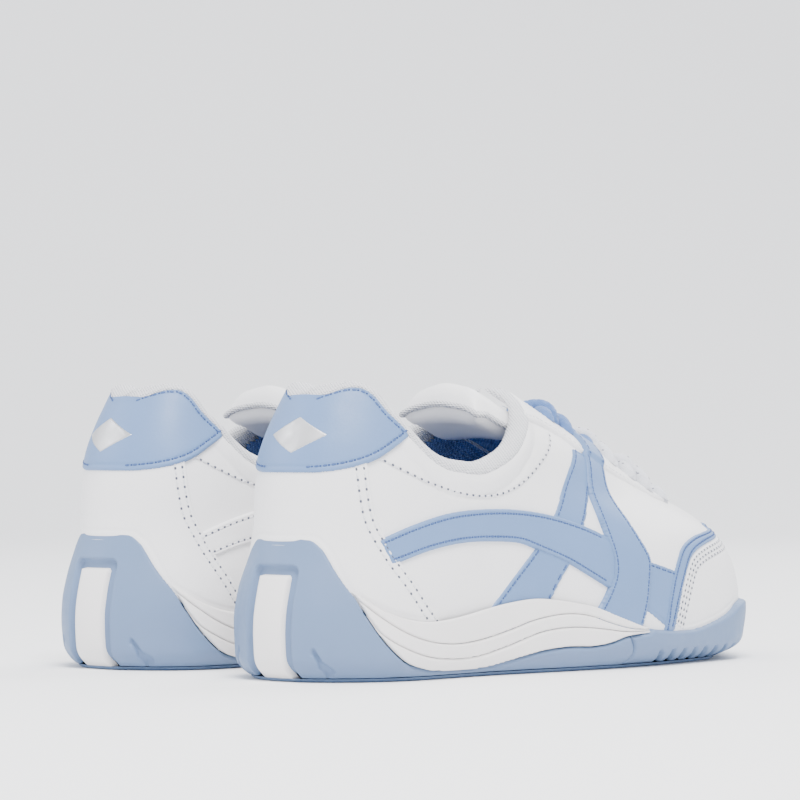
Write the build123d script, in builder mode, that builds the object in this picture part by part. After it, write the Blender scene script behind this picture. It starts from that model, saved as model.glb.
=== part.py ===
"""Pair of low cheer shoes, right and left, millimetres, +Z up, toes along +Y.

Every piece is modelled once for the right shoe in its own local frame (back of
the heel at y = 0, floor at z = 0, outer side +X), then moved into the pair's
frame; the left shoe is the mirror of the right one, set slightly forward.
"""
import os
from math import cos, pi, sin, sqrt

from build123d import *

os.makedirs("parts", exist_ok=True)

# ---- driving dimensions ----
RIGHT_AT = (46.25, -125.0, 0.0)
LEFT_AT = (-46.25, -122.0, 0.0)
LEATHER = 1.4            # base leather of the upper
OVERLAY = 1.05           # stitched-on panels
GLUE = 0.06              # clearance between glued layers
COLLAR_PAD = 4.4         # foam behind the collar
COUNTER = 1.6            # heel stiffener
PUFF = 1.1               # toe stiffener
LINING = 1.0             # mesh lining
SOCKLINER_TOP = 15.0
BOARD_Z = (9.4, 11.0)
TONGUE = (7.2, 11.8, 12.8)  # depth of tongue face, back and lining below the leather
LACE_R = 1.7
EYELET_R = 1.9
EYELET_X = 9.6
EYELET_Y = (133.0, 144.0, 155.5, 167.0, 178.0, 188.0, 197.0)
POINTS = 32              # points round each outline

# ---- outline tables: z, heel y, toe y, half widths outer side, inner side ----
STATIONS = [0.0, 0.03, 0.1, 0.25, 0.45, 0.65, 0.8, 0.9, 0.97, 1.0]
UPPER = [
    (4, 4.6, 242.0, [18.0, 28.0, 32.6, 37.0, 41.0, 36.8, 26.0, 8.0], [19.6, 29.8, 29.6, 28.2, 38.2, 41.2, 34.8, 21.6]),
    (10, 4.0, 243.0, [18.5, 29.0, 33.5, 38.0, 42.0, 37.5, 26.5, 8.0], [20.0, 30.5, 30.5, 29.0, 39.0, 42.0, 35.5, 22.0]),
    (20, 3.2, 243.8, [18.8, 29.8, 34.5, 38.8, 42.5, 37.8, 26.8, 8.2], [20.2, 31.0, 31.5, 30.5, 39.5, 42.3, 36.0, 22.5]),
    (32, 4.2, 242.2, [18.6, 29.8, 34.8, 38.5, 41.5, 36.3, 25.5, 7.5], [20.0, 31.0, 32.2, 31.5, 39.0, 41.0, 34.5, 21.0]),
    (44, 6.6, 236.0, [17.6, 28.2, 34.0, 36.7, 39.0, 33.2, 22.3, 7.0], [18.8, 29.2, 32.0, 31.8, 36.5, 36.0, 29.0, 16.5]),
    (52, 7.8, 223.5, [17.0, 27.3, 33.2, 34.8, 34.8, 28.6, 19.5, 7.5], [18.0, 28.3, 31.7, 31.5, 33.2, 31.0, 23.5, 13.0]),
    (60, 8.6, 199.5, [16.5, 26.8, 32.6, 33.2, 31.0, 25.0, 17.5, 8.5], [17.4, 27.6, 31.3, 31.0, 30.0, 26.0, 18.5, 10.0]),
    (76, 11.0, 164.0, [14.5, 24.0, 30.0, 31.0, 28.4, 23.0, 15.8, 8.4], [15.3, 24.6, 29.5, 30.2, 28.2, 23.0, 15.8, 8.4]),
    (86, 15.0, 141.6, [12.5, 20.8, 27.2, 28.8, 26.0, 20.4, 14.0, 7.4], [13.2, 21.2, 27.0, 28.4, 26.0, 20.4, 14.0, 7.4]),
    (96, 20.3, 119.0, [10.3, 17.2, 24.0, 26.6, 24.0, 18.6, 12.8, 6.8], [10.8, 17.6, 24.0, 26.4, 23.8, 18.6, 12.8, 6.8]),
    (108, 28.5, 92.0, [8.0, 13.5, 19.5, 22.0, 19.5, 15.0, 10.2, 5.4], [8.0, 13.5, 19.5, 22.0, 19.5, 15.0, 10.2, 5.4]),
]
SOLE = [
    (0, 6.9, 229.0, [17.5, 28.5, 31.5, 35.5, 37.0, 32.0, 22.0, 6.0], [18.5, 29.5, 28.5, 27.5, 36.0, 38.0, 31.0, 19.0]),
    (4, 2.2, 241.0, [19.5, 31.5, 35.0, 39.5, 42.5, 38.0, 27.0, 8.5], [20.8, 33.0, 32.0, 30.5, 41.0, 43.0, 37.0, 23.0]),
    (10, 0.2, 245.8, [20.5, 33.0, 37.0, 41.5, 45.0, 40.0, 29.0, 9.5], [21.5, 34.3, 33.3, 31.8, 43.0, 45.2, 38.7, 24.7]),
    (20, 0.0, 247.0, [21.0, 33.3, 38.0, 42.3, 45.2, 40.5, 29.5, 10.0], [21.8, 34.6, 34.8, 33.2, 43.0, 45.2, 38.8, 25.0]),
    (32, 2.2, 244.8, [20.6, 32.6, 37.5, 41.0, 43.5, 38.5, 27.5, 9.0], [21.2, 33.8, 34.8, 34.0, 42.0, 43.3, 37.0, 23.5]),
    (44, 5.4, 238.0, [19.0, 30.3, 36.0, 38.7, 40.4, 34.6, 23.6, 8.0], [19.8, 31.0, 33.6, 33.6, 38.5, 38.0, 31.0, 18.0]),
    (60, 8.0, 201.0, [17.0, 27.6, 33.6, 34.4, 32.0, 26.0, 18.5, 9.2], [18.0, 28.4, 32.4, 32.2, 31.0, 27.0, 19.5, 10.8]),
]


# ---- numbers only: a natural cubic through table values ----
def curve(xs, ys, x):
    n = len(xs)
    h = [xs[i + 1] - xs[i] for i in range(n - 1)]
    low, mid, top, rhs = [0.0] * n, [1.0] * n, [0.0] * n, [0.0] * n
    for i in range(1, n - 1):
        low[i], mid[i], top[i] = h[i - 1], 2 * (h[i - 1] + h[i]), h[i]
        rhs[i] = 6 * ((ys[i + 1] - ys[i]) / h[i] - (ys[i] - ys[i - 1]) / h[i - 1])
    for i in range(1, n):
        m = low[i] / mid[i - 1]
        mid[i] -= m * top[i - 1]
        rhs[i] -= m * rhs[i - 1]
    bend = [0.0] * n
    bend[-1] = rhs[-1] / mid[-1]
    for i in range(n - 2, -1, -1):
        bend[i] = (rhs[i] - top[i] * bend[i + 1]) / mid[i]
    k = 0
    while k < n - 2 and x > xs[k + 1]:
        k += 1
    t = x - xs[k]
    d = (ys[k + 1] - ys[k]) / h[k] - h[k] * (2 * bend[k] + bend[k + 1]) / 6
    return ys[k] + t * (d + t * (bend[k] / 2 + t * (bend[k + 1] - bend[k]) / (6 * h[k])))


def ramp(x, a, b):
    t = min(max((x - a) / (b - a), 0.0), 1.0)
    return t * t * (3 - 2 * t)


def level(table, z):
    zs = [row[0] for row in table]
    heel = curve(zs, [row[1] for row in table], z)
    toe = curve(zs, [row[2] for row in table], z)
    outer = [curve(zs, [row[3][k] for row in table], z) for k in range(8)]
    inner = [curve(zs, [row[4][k] for row in table], z) for k in range(8)]
    return heel, toe, outer, inner


def shift(s, z):
    return -8.0 * max((s - 0.5) / 0.5, 0.0) ** 2 * min(max((60 - z) / 40.0, 0.0), 1.0)


def pad_depth(kind, y, z):
    """Extra depth of the inner surfaces: collar foam, heel stiffener, toe stiffener."""
    if kind == 0:
        return 0.0
    collar = COLLAR_PAD * ramp(z, 48, 62) * (1 - ramp(y, 98, 120))
    counter = COUNTER * (1 - ramp(z, 44, 54)) * (1 - ramp(y, 58, 74))
    puff = PUFF * ramp(y, 196, 210)
    return 0.8 + max(collar, counter, puff)


def outline(table, z, depth, pad=0):
    """Closed outline at height z, moved in by depth (out when negative)."""
    heel, toe, outer, inner = level(table, z)
    h2, t2, _, _ = level(table, z + 1.0)
    slope_h, slope_t = sqrt(1 + (h2 - heel) ** 2), sqrt(1 + min(abs(t2 - toe), 3.0) ** 2)
    widest = max(outer[2], outer[3], inner[3])
    points = []
    for k in range(POINTS):
        a = -pi + 2 * pi * (k + 0.5) / POINTS
        s = (1 - cos(a)) / 2
        side = outer if a > 0 else inner
        ratios = []
        for j, station in enumerate(STATIONS[1:-1]):
            c = shift(station, z)
            w = side[j] - c if a > 0 else side[j] + c
            ratios.append(w / (2 * sqrt(station * (1 - station))))
        ratios = [ratios[0] * 1.02] + ratios + [ratios[-1] * 1.02]
        x = shift(s, z) + sin(a) * curve(STATIONS, ratios, s)
        y = heel + (toe - heel) * s
        d = depth + (pad_depth(pad, y, z) if pad else 0.0)
        points.append((x * (1 - 1.05 * d / widest), y + d * slope_h * (1 - s) - d * slope_t * s))
    return points


def body_of(table, depth, heights, pad=0):
    with BuildPart() as made:
        for z in heights:
            with BuildSketch(Plane.XY.offset(z)):
                with BuildLine():
                    points = outline(table, z, depth, pad)
                    add(Edge.make_spline([(x, y, 0) for x, y in points], periodic=True, parameters=[k / POINTS for k in range(POINTS + 1)]))
                make_face()
        loft()
    return made.part


def ring(outer, inner):
    """Closed wall between two nested lofts that share their end planes."""
    sides, caps = [], []
    for shape in (outer, inner):
        flat = shape.faces().filter_by(GeomType.PLANE).filter_by(Axis.Z).sort_by(Axis.Z)
        caps.append((flat[0].outer_wire(), flat[-1].outer_wire()))
        low, high = flat[0].center().Z, flat[-1].center().Z
        sides += [f for f in shape.faces() if not (f.geom_type == GeomType.PLANE and f.bounding_box().size.Z < 1e-6)]
    ends = [Face(caps[0][k], [caps[1][k]]) for k in (0, 1)]
    made = Solid(Shell(sides + ends))
    with BuildPart() as wall:
        add(made)
    return wall.part


def biggest(part, count=1):
    with BuildPart() as made:
        add(part.solids().sort_by(SortBy.VOLUME)[-count:])
    return made.part


def side_prism(runs, x0, x1):
    """Prism along X whose outline in the side view is made of the given runs."""
    with BuildPart() as made:
        with BuildSketch(Plane.YZ.offset(x0)):
            with BuildLine():
                for k, run in enumerate(runs):
                    if len(run) == 2:
                        Line(run[0], run[1])
                    else:
                        Spline(*run)
                    following = runs[(k + 1) % len(runs)][0]
                    if abs(run[-1][0] - following[0]) + abs(run[-1][1] - following[1]) > 1e-6:
                        Line(run[-1], following)
            make_face()
        extrude(amount=x1 - x0)
    return made.part


def plan_prism(runs, z0, z1):
    with BuildPart() as made:
        with BuildSketch(Plane.XY.offset(z0)):
            with BuildLine():
                for k, run in enumerate(runs):
                    if len(run) == 2:
                        Line(run[0], run[1])
                    else:
                        Spline(*run)
                    following = runs[(k + 1) % len(runs)][0]
                    if abs(run[-1][0] - following[0]) + abs(run[-1][1] - following[1]) > 1e-6:
                        Line(run[-1], following)
            make_face()
        extrude(amount=z1 - z0)
    return made.part


def slab(x0, x1, y0, y1, z0, z1):
    with BuildPart() as made:
        with Locations(((x0 + x1) / 2, (y0 + y1) / 2, (z0 + z1) / 2)):
            Box(x1 - x0, y1 - y0, z1 - z0)
    return made.part


def solids_of(shape):
    found = shape.solids() if hasattr(shape, "solids") else ShapeList([shape])
    return found


FULL = [7, 12, 20, 28, 36, 42, 47, 52, 57, 63, 70, 78, 87, 96, 105]
out_skin = body_of(UPPER, -OVERLAY - GLUE, FULL)
out_gap = body_of(UPPER, -GLUE, FULL)
leather_out = body_of(UPPER, 0.0, FULL)
leather_in = body_of(UPPER, LEATHER, FULL)
pad_out = body_of(UPPER, LEATHER + GLUE, FULL)
pad_in = body_of(UPPER, LEATHER + GLUE, FULL, 1)
lining_out = body_of(UPPER, LEATHER + 2 * GLUE, FULL, 1)
lining_in = body_of(UPPER, LEATHER + 2 * GLUE + LINING, FULL, 1)
print("upper envelopes done")

LOW = [0, 1.5, 4, 7, 10, 15, 20, 26, 32, 38, 44, 50, 54]
sole_body = body_of(SOLE, 0.0, LOW)
sole_step_a = body_of(SOLE, 0.9, LOW)
sole_step_b = body_of(SOLE, 0.45, LOW)
sole_core = body_of(SOLE, 2.6, [2.6, 4, 7, 10, 15, 20, 26, 32, 38, 44, 50, 54])
print("sole envelopes done")

# ---- side-view lines (y, z), read as edges of the panels ----
TOPLINE = [(16.0, 95.2), (20.0, 95.6), (22.5, 97.4), (26.6, 99.2), (30.4, 99.0), (33.2, 96.0), (35.6, 90.5),
           (40.6, 84.6), (48.9, 76.7), (55.9, 73.3), (63.6, 72.1), (72.0, 71.7), (80.9, 74.0), (89.8, 77.9),
           (97.8, 83.7), (104.6, 89.6), (109.0, 94.6), (112.0, 99.2)]
HEEL_PANEL = [(24.7, 74.0), (24.9, 64.0), (26.4, 55.5), (29.4, 48.5), (33.0, 41.2), (40.2, 30.8), (44.1, 25.8),
              (49.2, 20.4), (58.0, 8.0)]
TAB_LOW = [(-6.0, 69.4), (10.2, 69.4), (15.9, 70.3), (22.2, 72.1), (27.7, 74.4), (34.5, 78.3), (42.5, 82.6)]
VAMP_REAR = [(146.0, 84.0), (140.5, 74.0), (137.5, 64.0), (137.0, 52.0), (139.5, 40.0), (139.0, 28.0), (134.0, 7.0)]
CURVE_TOP = [(27.6, 48.0), (39.9, 52.4), (54.2, 55.9), (70.1, 57.2), (86.8, 57.0), (103.3, 55.1), (119.3, 51.2), (133.0, 46.0)]
CURVE_LOW = [(31.6, 39.6), (46.1, 43.5), (61.4, 45.8), (77.0, 46.0), (89.2, 45.1), (95.9, 43.1), (111.1, 37.7), (119.6, 33.5), (131.0, 27.6)]
WIDE_REAR = [(151.0, 85.0), (143.0, 80.0), (136.6, 74.0), (131.6, 64.4), (130.2, 55.9), (130.7, 47.0), (131.9, 39.3), (131.4, 34.0),
             (127.4, 26.5), (122.5, 20.0), (118.0, 14.0)]
WIDE_FRONT = [(164.0, 80.0), (155.0, 75.5), (148.6, 70.5), (144.8, 64.5), (144.1, 58.5), (145.2, 52.5), (148.0, 45.4), (151.4, 38.4),
              (150.2, 30.0), (148.3, 21.9), (144.6, 12.0)]
DIAG_REAR = [(132.6, 79.5), (117.2, 65.5), (107.3, 54.3), (95.9, 43.1), (84.7, 33.5), (70.0, 20.0)]
DIAG_FRONT = [(143.0, 74.0), (128.3, 58.6), (121.7, 50.5), (112.0, 37.3), (107.2, 31.9), (97.0, 18.0)]
TOE_BAND_REAR = [(155.5, 8.0), (158.2, 14.2), (160.5, 23.1), (166.6, 34.3), (173.5, 41.4), (184.6, 45.2), (205.0, 47.6), (232.0, 49.4)]
TOE_BAND_FRONT = [(161.6, 8.0), (163.6, 13.4), (166.8, 21.5), (173.7, 31.9), (179.8, 38.1), (191.2, 42.0), (211.0, 44.8), (236.0, 46.4)]
FORE_TOP = [(150.0, 38.8), (165.4, 33.8)]
FORE_LOW = [(146.0, 20.4), (158.0, 14.6)]
SOLE_TOP = [(-8.0, 49.0), (6.4, 49.2), (9.2, 48.4), (11.0, 44.6), (12.3, 37.0), (14.6, 30.8), (23.8, 24.6), (33.3, 21.1), (42.6, 19.9),
            (50.7, 20.2), (60.8, 21.5), (70.8, 23.4), (80.4, 25.0), (92.8, 26.2), (100.3, 25.9), (112.2, 24.3),
            (121.6, 22.5), (131.9, 19.2), (141.2, 16.2), (150.0, 13.8), (161.0, 12.8), (175.4, 12.7), (190.0, 14.8),
            (200.7, 17.6), (210.0, 21.2), (225.0, 22.4), (252.0, 22.6)]
WAVE_TOP = [(14.4, 31.2), (23.8, 24.6), (33.3, 21.1), (42.6, 19.9), (50.7, 20.2), (60.8, 21.5), (70.8, 23.4), (80.4, 25.0),
            (92.8, 26.2), (100.3, 25.9), (112.2, 24.3), (121.6, 22.5), (131.9, 19.2), (141.2, 16.2), (146.5, 14.2)]
WAVE_1 = [(17.0, 26.5), (22.1, 22.5), (30.8, 17.1), (41.2, 13.4), (53.3, 11.8), (65.8, 12.3), (80.8, 15.3), (92.5, 18.5),
          (104.4, 20.2), (112.1, 20.2), (119.8, 19.0), (127.5, 16.7), (138.4, 13.7), (146.5, 13.2)]
WAVE_2 = [(20.0, 20.0), (21.8, 16.4), (30.9, 11.6), (42.0, 7.6), (54.3, 6.3), (66.7, 6.7), (81.6, 10.2), (96.5, 14.4), (108.4, 15.3),
          (119.6, 14.8), (127.3, 13.9), (135.0, 12.7), (146.5, 12.4)]
WAVE_LOW = [(19.0, 18.4), (21.6, 13.6), (28.2, 9.2), (35.6, 5.3), (43.6, 3.2), (54.3, 2.4), (69.8, 2.6), (76.6, 3.5), (87.1, 5.8), (98.0, 7.9),
            (109.0, 8.8), (120.1, 8.6), (127.9, 9.4), (135.8, 11.2), (146.5, 11.8)]

# ---- tools shared by several pieces ----
mouth = side_prism([[(-30.0, 95.2), TOPLINE[0]], TOPLINE, [TOPLINE[-1], (112.0, 140.0)], [(112.0, 140.0), (-30.0, 140.0)]], -70, 70)
above_top = slab(-70, 70, 100, 260, 99.2, 140)
throat = plan_prism([[(-8.6, 100.0), (-8.2, 128.0), (-7.2, 160.0), (-6.4, 188.0), (-4.2, 200.0), (0.0, 204.0), (4.2, 200.0), (6.4, 188.0),
                      (7.2, 160.0), (8.2, 128.0), (8.6, 100.0)], [(8.6, 100.0), (-8.6, 100.0)]], 52, 130)
below_sole = side_prism([SOLE_TOP, [SOLE_TOP[-1], (252.0, -20.0)], [(252.0, -20.0), (-8.0, -20.0)]], -70, 70)
with BuildPart() as eyelet_pins:
    for k, y in enumerate(EYELET_Y):
        for x in (-EYELET_X, EYELET_X):
            with Locations(Location((x, y, 58 + (203 - y) / 2.25), (-22, 0, 0))):
                Cylinder(EYELET_R, 26)

# ---- sole ----
with BuildPart() as sole_all:
    add(sole_body)
    add(below_sole, mode=Mode.INTERSECT)
print("sole", len(sole_all.part.solids()))


def cut_list(base, *tools):
    """Base less each tool, as one builder part."""
    with BuildPart() as made:
        add(base)
        for tool in tools:
            add(tool, mode=Mode.SUBTRACT)
    return made.part


def common(base, *tools):
    with BuildPart() as made:
        add(base)
        for tool in tools:
            add(tool, mode=Mode.INTERSECT)
    return made.part


def joined(*parts):
    with BuildPart() as made:
        for part in parts:
            add(part)
    return made.part


cavity = cut_list(out_gap, slab(-80, 80, -20, 270, -5, 9.3))
wave_a = side_prism([WAVE_TOP, WAVE_1[::-1]], -70, 70)
wave_b = side_prism([WAVE_1, WAVE_2[::-1]], -70, 70)
wave_c = side_prism([WAVE_2, WAVE_LOW[::-1]], -70, 70)
sole_shell = cut_list(sole_all.part, cavity)
print("shell")
midsole = joined(common(sole_shell, wave_a, sole_step_a), common(sole_shell, wave_b, sole_step_b), common(sole_shell, wave_c))
window = cut_list(slab(-10.2, 10.2, -10, 17, -5, 39.0), sole_core)
strip = cut_list(common(sole_body, slab(-7.4, 7.4, -10, 14, 0, 36.6)), sole_core, cavity)
outsole = cut_list(sole_shell, wave_a, wave_b, wave_c, window)
with BuildPart() as treads:
    for y in (158, 166, 174, 182, 190, 198, 206, 214, 222, 230):
        with Locations(Location((0, y, 0.0), (0, 0, 12))):
            Box(110, 1.8, 3.0)
    for y in (44, 52, 60, 68):
        with Locations((0, y, 0.0)):
            Box(110, 1.6, 2.4)
    with Locations((0, 30, 0)):
        Box(1.8, 30, 2.4)
outsole = biggest(cut_list(outsole, treads.part))
print("outsole", len(outsole.solids()), "midsole", len(midsole.solids()), "strip", len(strip.solids()))

PIECES = {}


def keep(name, part):
    PIECES[name] = part
    print(name, len(part.solids()), round(part.volume))


keep("outsole", outsole)
keep("midsole", midsole)
keep("heel_strip", strip)

# ---- upper ----
leather = cut_list(ring(leather_out, leather_in), mouth, above_top, throat, slab(-80, 80, -20, 270, -5, 9.4), eyelet_pins.part)
heel_zone = side_prism([[(-20.0, 140.0), (24.7, 140.0)], [(24.7, 140.0), HEEL_PANEL[0]], HEEL_PANEL, [HEEL_PANEL[-1], (58.0, -10.0)], [(58.0, -10.0), (-20.0, -10.0)]], -70, 70)
front_zone = side_prism([[(146.0, 140.0), VAMP_REAR[0]], VAMP_REAR, [VAMP_REAR[-1], (134.0, -10.0)], [(134.0, -10.0), (270.0, -10.0)], [(270.0, -10.0), (270.0, 140.0)]], -70, 70)
keep("heel_panel", common(leather, heel_zone))
keep("vamp", common(leather, front_zone))
middle = cut_list(leather, heel_zone, front_zone)
keep("quarter_lateral", biggest(common(middle, slab(0.0, 70, -20, 270, -10, 140))))
keep("quarter_medial", biggest(common(middle, slab(-70, 0.0, -20, 270, -10, 140))))

pads = ring(pad_out, pad_in)
keep("collar_foam", biggest(cut_list(common(pads, slab(-70, 70, -20, 112, 55, 140)), mouth, throat)))
keep("heel_counter", common(pads, slab(-70, 70, -20, 62, 11.2, 50)))
keep("toe_puff", common(pads, slab(-70, 70, 212, 270, 11.2, 54)))
keep("lining", cut_list(ring(lining_out, lining_in), mouth, above_top, throat, slab(-80, 80, -20, 270, -5, 11.2), eyelet_pins.part))
board = common(cut_list(leather_in, slab(-80, 80, -20, 270, -5, BOARD_Z[0]), slab(-80, 80, -20, 270, BOARD_Z[1], 140)))
keep("insole_board", board)
inner_low = body_of(UPPER, LEATHER + 3 * GLUE + LINING, [7, 11.2, SOCKLINER_TOP, 19], 1)
with BuildPart() as sock:
    add(inner_low)
    add(slab(-80, 80, -20, 270, 11.25, SOCKLINER_TOP), mode=Mode.INTERSECT)
keep("sockliner", sock.part)

rim_out = body_of(UPPER, -0.7, [66, 70, 78, 87, 96, 105])
rim_in = body_of(UPPER, LEATHER + 3 * GLUE + LINING + 0.4, [66, 70, 78, 87, 96, 105], 1)
mouth_up = mouth.moved(Location((0, 0, 0.05)))
mouth_high = mouth.moved(Location((0, 0, 1.9)))
rim_band = cut_list(mouth_up, mouth_high, slab(-70, 70, 100.5, 270, -10, 200))
keep("collar_binding", common(ring(rim_out, rim_in), rim_band))

# ---- panels stitched on the outside ----
skin = cut_list(ring(out_skin, out_gap), mouth, above_top, throat, below_sole.moved(Location((0, 0, 0.08))), eyelet_pins.part)
tab_zone = side_prism([[(-6.0, 140.0), TAB_LOW[0]], TAB_LOW, [TAB_LOW[-1], (42.5, 140.0)]], -70, 70)
keep("heel_tab", common(skin, tab_zone))
wide_zone = side_prism([WIDE_REAR, WIDE_FRONT[::-1]], 0, 70)
curve_zone = side_prism([CURVE_TOP, CURVE_LOW[::-1]], 0, 70)
diag_zone = side_prism([DIAG_REAR, DIAG_FRONT[::-1]], 0, 70)
wide_in = side_prism([WIDE_REAR, WIDE_FRONT[::-1]], -70, 0)
curve_in = side_prism([CURVE_TOP, CURVE_LOW[::-1]], -70, 0)
diag_in = side_prism([DIAG_REAR, DIAG_FRONT[::-1]], -70, 0)
stay_zone = plan_prism([[(-25.0, 101.0), (-20.5, 116.0), (-20.0, 127.0), (-21.2, 140.0), (-20.6, 151.0), (-18.7, 163.0), (-16.6, 177.0), (-14.2, 190.0),
                         (-8.0, 202.0), (0.0, 206.5), (8.0, 202.0), (14.2, 190.0), (16.6, 177.0), (18.7, 163.0), (20.6, 151.0), (21.2, 140.0),
                         (20.0, 127.0), (20.5, 116.0), (25.0, 101.0)], [(25.0, 101.0), (-25.0, 101.0)]], 40, 130)
keep("eyestay", cut_list(common(skin, stay_zone), wide_zone, wide_in))
keep("stripe_wide", common(skin, wide_zone))
keep("stripe_curved", cut_list(common(skin, curve_zone), wide_zone))
keep("stripe_diagonal", cut_list(common(skin, diag_zone), wide_zone, curve_zone, stay_zone))
medial = joined(wide_in, curve_in, diag_in)
keep("stripes_medial", cut_list(common(skin, medial), cut_list(stay_zone, wide_in)))
band_zone = side_prism([TOE_BAND_REAR, [TOE_BAND_REAR[-1], (262.0, 50.4)], [(262.0, 50.4), (262.0, 47.4)], [(262.0, 47.4), TOE_BAND_FRONT[-1]], TOE_BAND_FRONT[::-1]], -70, 70)
toe_zone = side_prism([TOE_BAND_FRONT, [TOE_BAND_FRONT[-1], (262.0, 47.4)], [(262.0, 47.4), (262.0, 8.0)]], -70, 70)
keep("toe_band", common(skin, band_zone))
keep("toe_cap", common(skin, toe_zone))
fore_zone = side_prism([[FORE_TOP[0], FORE_TOP[1]], [FORE_TOP[1], (172.0, 31.0)], [(172.0, 31.0), (168.0, 8.0)], [(168.0, 8.0), FORE_LOW[1]], [FORE_LOW[1], FORE_LOW[0]]], 0, 70)
keep("forefoot_band", cut_list(common(skin, fore_zone), wide_zone, band_zone, toe_zone))

# ---- plain foil mark on the tab: a small lozenge ----
foil_out = body_of(UPPER, -OVERLAY - 2 * GLUE - 0.12, [66, 72, 78, 84, 90, 94])
foil_in = body_of(UPPER, -OVERLAY - 2 * GLUE, [66, 72, 78, 84, 90, 94])
with BuildPart() as lozenge:
    with BuildSketch(Plane.XZ):
        with Locations((3.0, 82.0)):
            Polygon((-9, 0), (0, 6), (9, 0), (0, -6))
    extrude(amount=-30)
keep("heel_mark", common(ring(foil_out, foil_in), lozenge.part))

# ---- tongue ----
T_LEVELS = [46, 50, 54, 58, 63, 70, 78, 87, 96, 101]
tongue_face = body_of(UPPER, TONGUE[0], T_LEVELS)
tongue_back = body_of(UPPER, TONGUE[1], T_LEVELS)
tongue_gap = body_of(UPPER, TONGUE[1] + GLUE, T_LEVELS)
tongue_inner = body_of(UPPER, TONGUE[2], T_LEVELS)
tongue_plan = plan_prism([[(-17.5, 82.0), (-18.5, 100.0), (-18.0, 130.0), (-16.0, 160.0), (-13.0, 180.0), (-9.0, 188.0), (0.0, 190.5), (9.0, 188.0), (13.0, 180.0),
                           (16.0, 160.0), (18.0, 130.0), (18.5, 100.0), (17.5, 82.0)], [(17.5, 82.0), (-17.5, 82.0)]], 40, 130)
tongue_side = side_prism([[(84.0, 101.0), (84.0, 84.0)], [(84.0, 84.0), (150.0, 44.0)], [(150.0, 44.0), (200.0, 44.0)], [(200.0, 44.0), (200.0, 101.0)]], -70, 70)
keep("tongue", common(ring(tongue_face, tongue_back), tongue_plan, tongue_side))
keep("tongue_lining", common(ring(tongue_gap, tongue_inner), tongue_plan, tongue_side))

# ---- lace: one cord, a bar at the lowest eyelets, then crossed up both sides ----
def stay_height(y):
    return 58.0 + (203.0 - y) / 2.25


def strand(side, high):
    """Points from the bottom bar's eyelet up to the tucked end."""
    points = []
    for k in range(len(EYELET_Y) - 1, -1, -1):
        y = EYELET_Y[k]
        top, x = stay_height(y), side * EYELET_X
        points.append((x, y - 0.6, top + 1.9))
        points.append((x, y + 0.9, top - 7.0))
        if k:
            points.append((side * 4.8, y - 2.2, stay_height(y - 2.2) - 5.2))
            points.append((side * 4.6, y - 3.4, stay_height(y - 3.4) + high))
            side = -side
        else:
            points.append((side * 5.0, y - 9.0, stay_height(y - 9.0) - 5.4))
    return points


def rounded(points, radius):
    """Lines and tangent arcs through the points."""
    with BuildLine() as route:
        last = Vector(*points[0])
        for k in range(1, len(points) - 1):
            a, b, c = Vector(*points[k - 1]), Vector(*points[k]), Vector(*points[k + 1])
            u, v = (a - b).normalized(), (c - b).normalized()
            half = u.get_angle(v) * pi / 360.0
            reach = min(radius / (sin(half) / cos(half)), 0.46 * (a - b).length, 0.46 * (c - b).length)
            r = reach * sin(half) / cos(half)
            start, end = b + u * reach, b + v * reach
            centre = b + (u + v).normalized() * (r / sin(half))
            middle = centre + (b - centre).normalized() * r
            if (start - last).length > 1e-4:
                Line(last, start)
            ThreePointArc(start, middle, end)
            last = end
        Line(last, Vector(*points[-1]))
    return route


path_points = strand(1, 1.9)[::-1] + strand(-1, 7.2)
lace_route = rounded(path_points, 2.4)
with BuildPart() as lace:
    first, second = Vector(*path_points[0]), Vector(*path_points[1])
    with BuildSketch(Plane(origin=first, z_dir=(second - first).normalized())):
        Circle(LACE_R)
    sweep(path=lace_route.wires()[0])
print("lace length", round(lace_route.wires()[0].length))
keep("lace", lace.part)

for name, part in PIECES.items():
    right = part.moved(Location(RIGHT_AT))
    right.label = "right_" + name
    export_step(right, "parts/right_" + name + ".step", write_pcurves=False)
    left = mirror(part, about=Plane.YZ).moved(Location(LEFT_AT))
    left.label = "left_" + name
    export_step(left, "parts/left_" + name + ".step", write_pcurves=False)
print("pieces", len(PIECES))
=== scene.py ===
"""Looks of the pair of cheer shoes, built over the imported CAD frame. Metres outside, millimetres inside the helpers."""
import math

import bpy
import numpy as np
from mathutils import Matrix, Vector, kdtree
from mathutils.geometry import delaunay_2d_cdt


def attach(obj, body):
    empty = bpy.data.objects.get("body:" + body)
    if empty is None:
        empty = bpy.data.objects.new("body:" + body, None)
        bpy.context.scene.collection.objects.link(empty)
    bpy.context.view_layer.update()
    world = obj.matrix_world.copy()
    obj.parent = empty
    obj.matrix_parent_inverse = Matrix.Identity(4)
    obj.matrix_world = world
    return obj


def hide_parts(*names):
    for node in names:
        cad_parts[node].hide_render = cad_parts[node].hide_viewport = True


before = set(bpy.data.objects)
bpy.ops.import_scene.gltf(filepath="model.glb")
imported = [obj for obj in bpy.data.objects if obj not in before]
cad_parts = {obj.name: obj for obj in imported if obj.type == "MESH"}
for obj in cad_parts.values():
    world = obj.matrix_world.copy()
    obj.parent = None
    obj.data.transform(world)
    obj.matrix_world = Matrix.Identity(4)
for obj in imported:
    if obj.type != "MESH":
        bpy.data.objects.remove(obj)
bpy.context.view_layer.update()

RNG = np.random.default_rng(7)
RIGHT_AT = np.array([46.25, -125.0, 0.0])
LEFT_AT = np.array([-46.25, -122.0, 0.0])
FINE = 0.5

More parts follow.
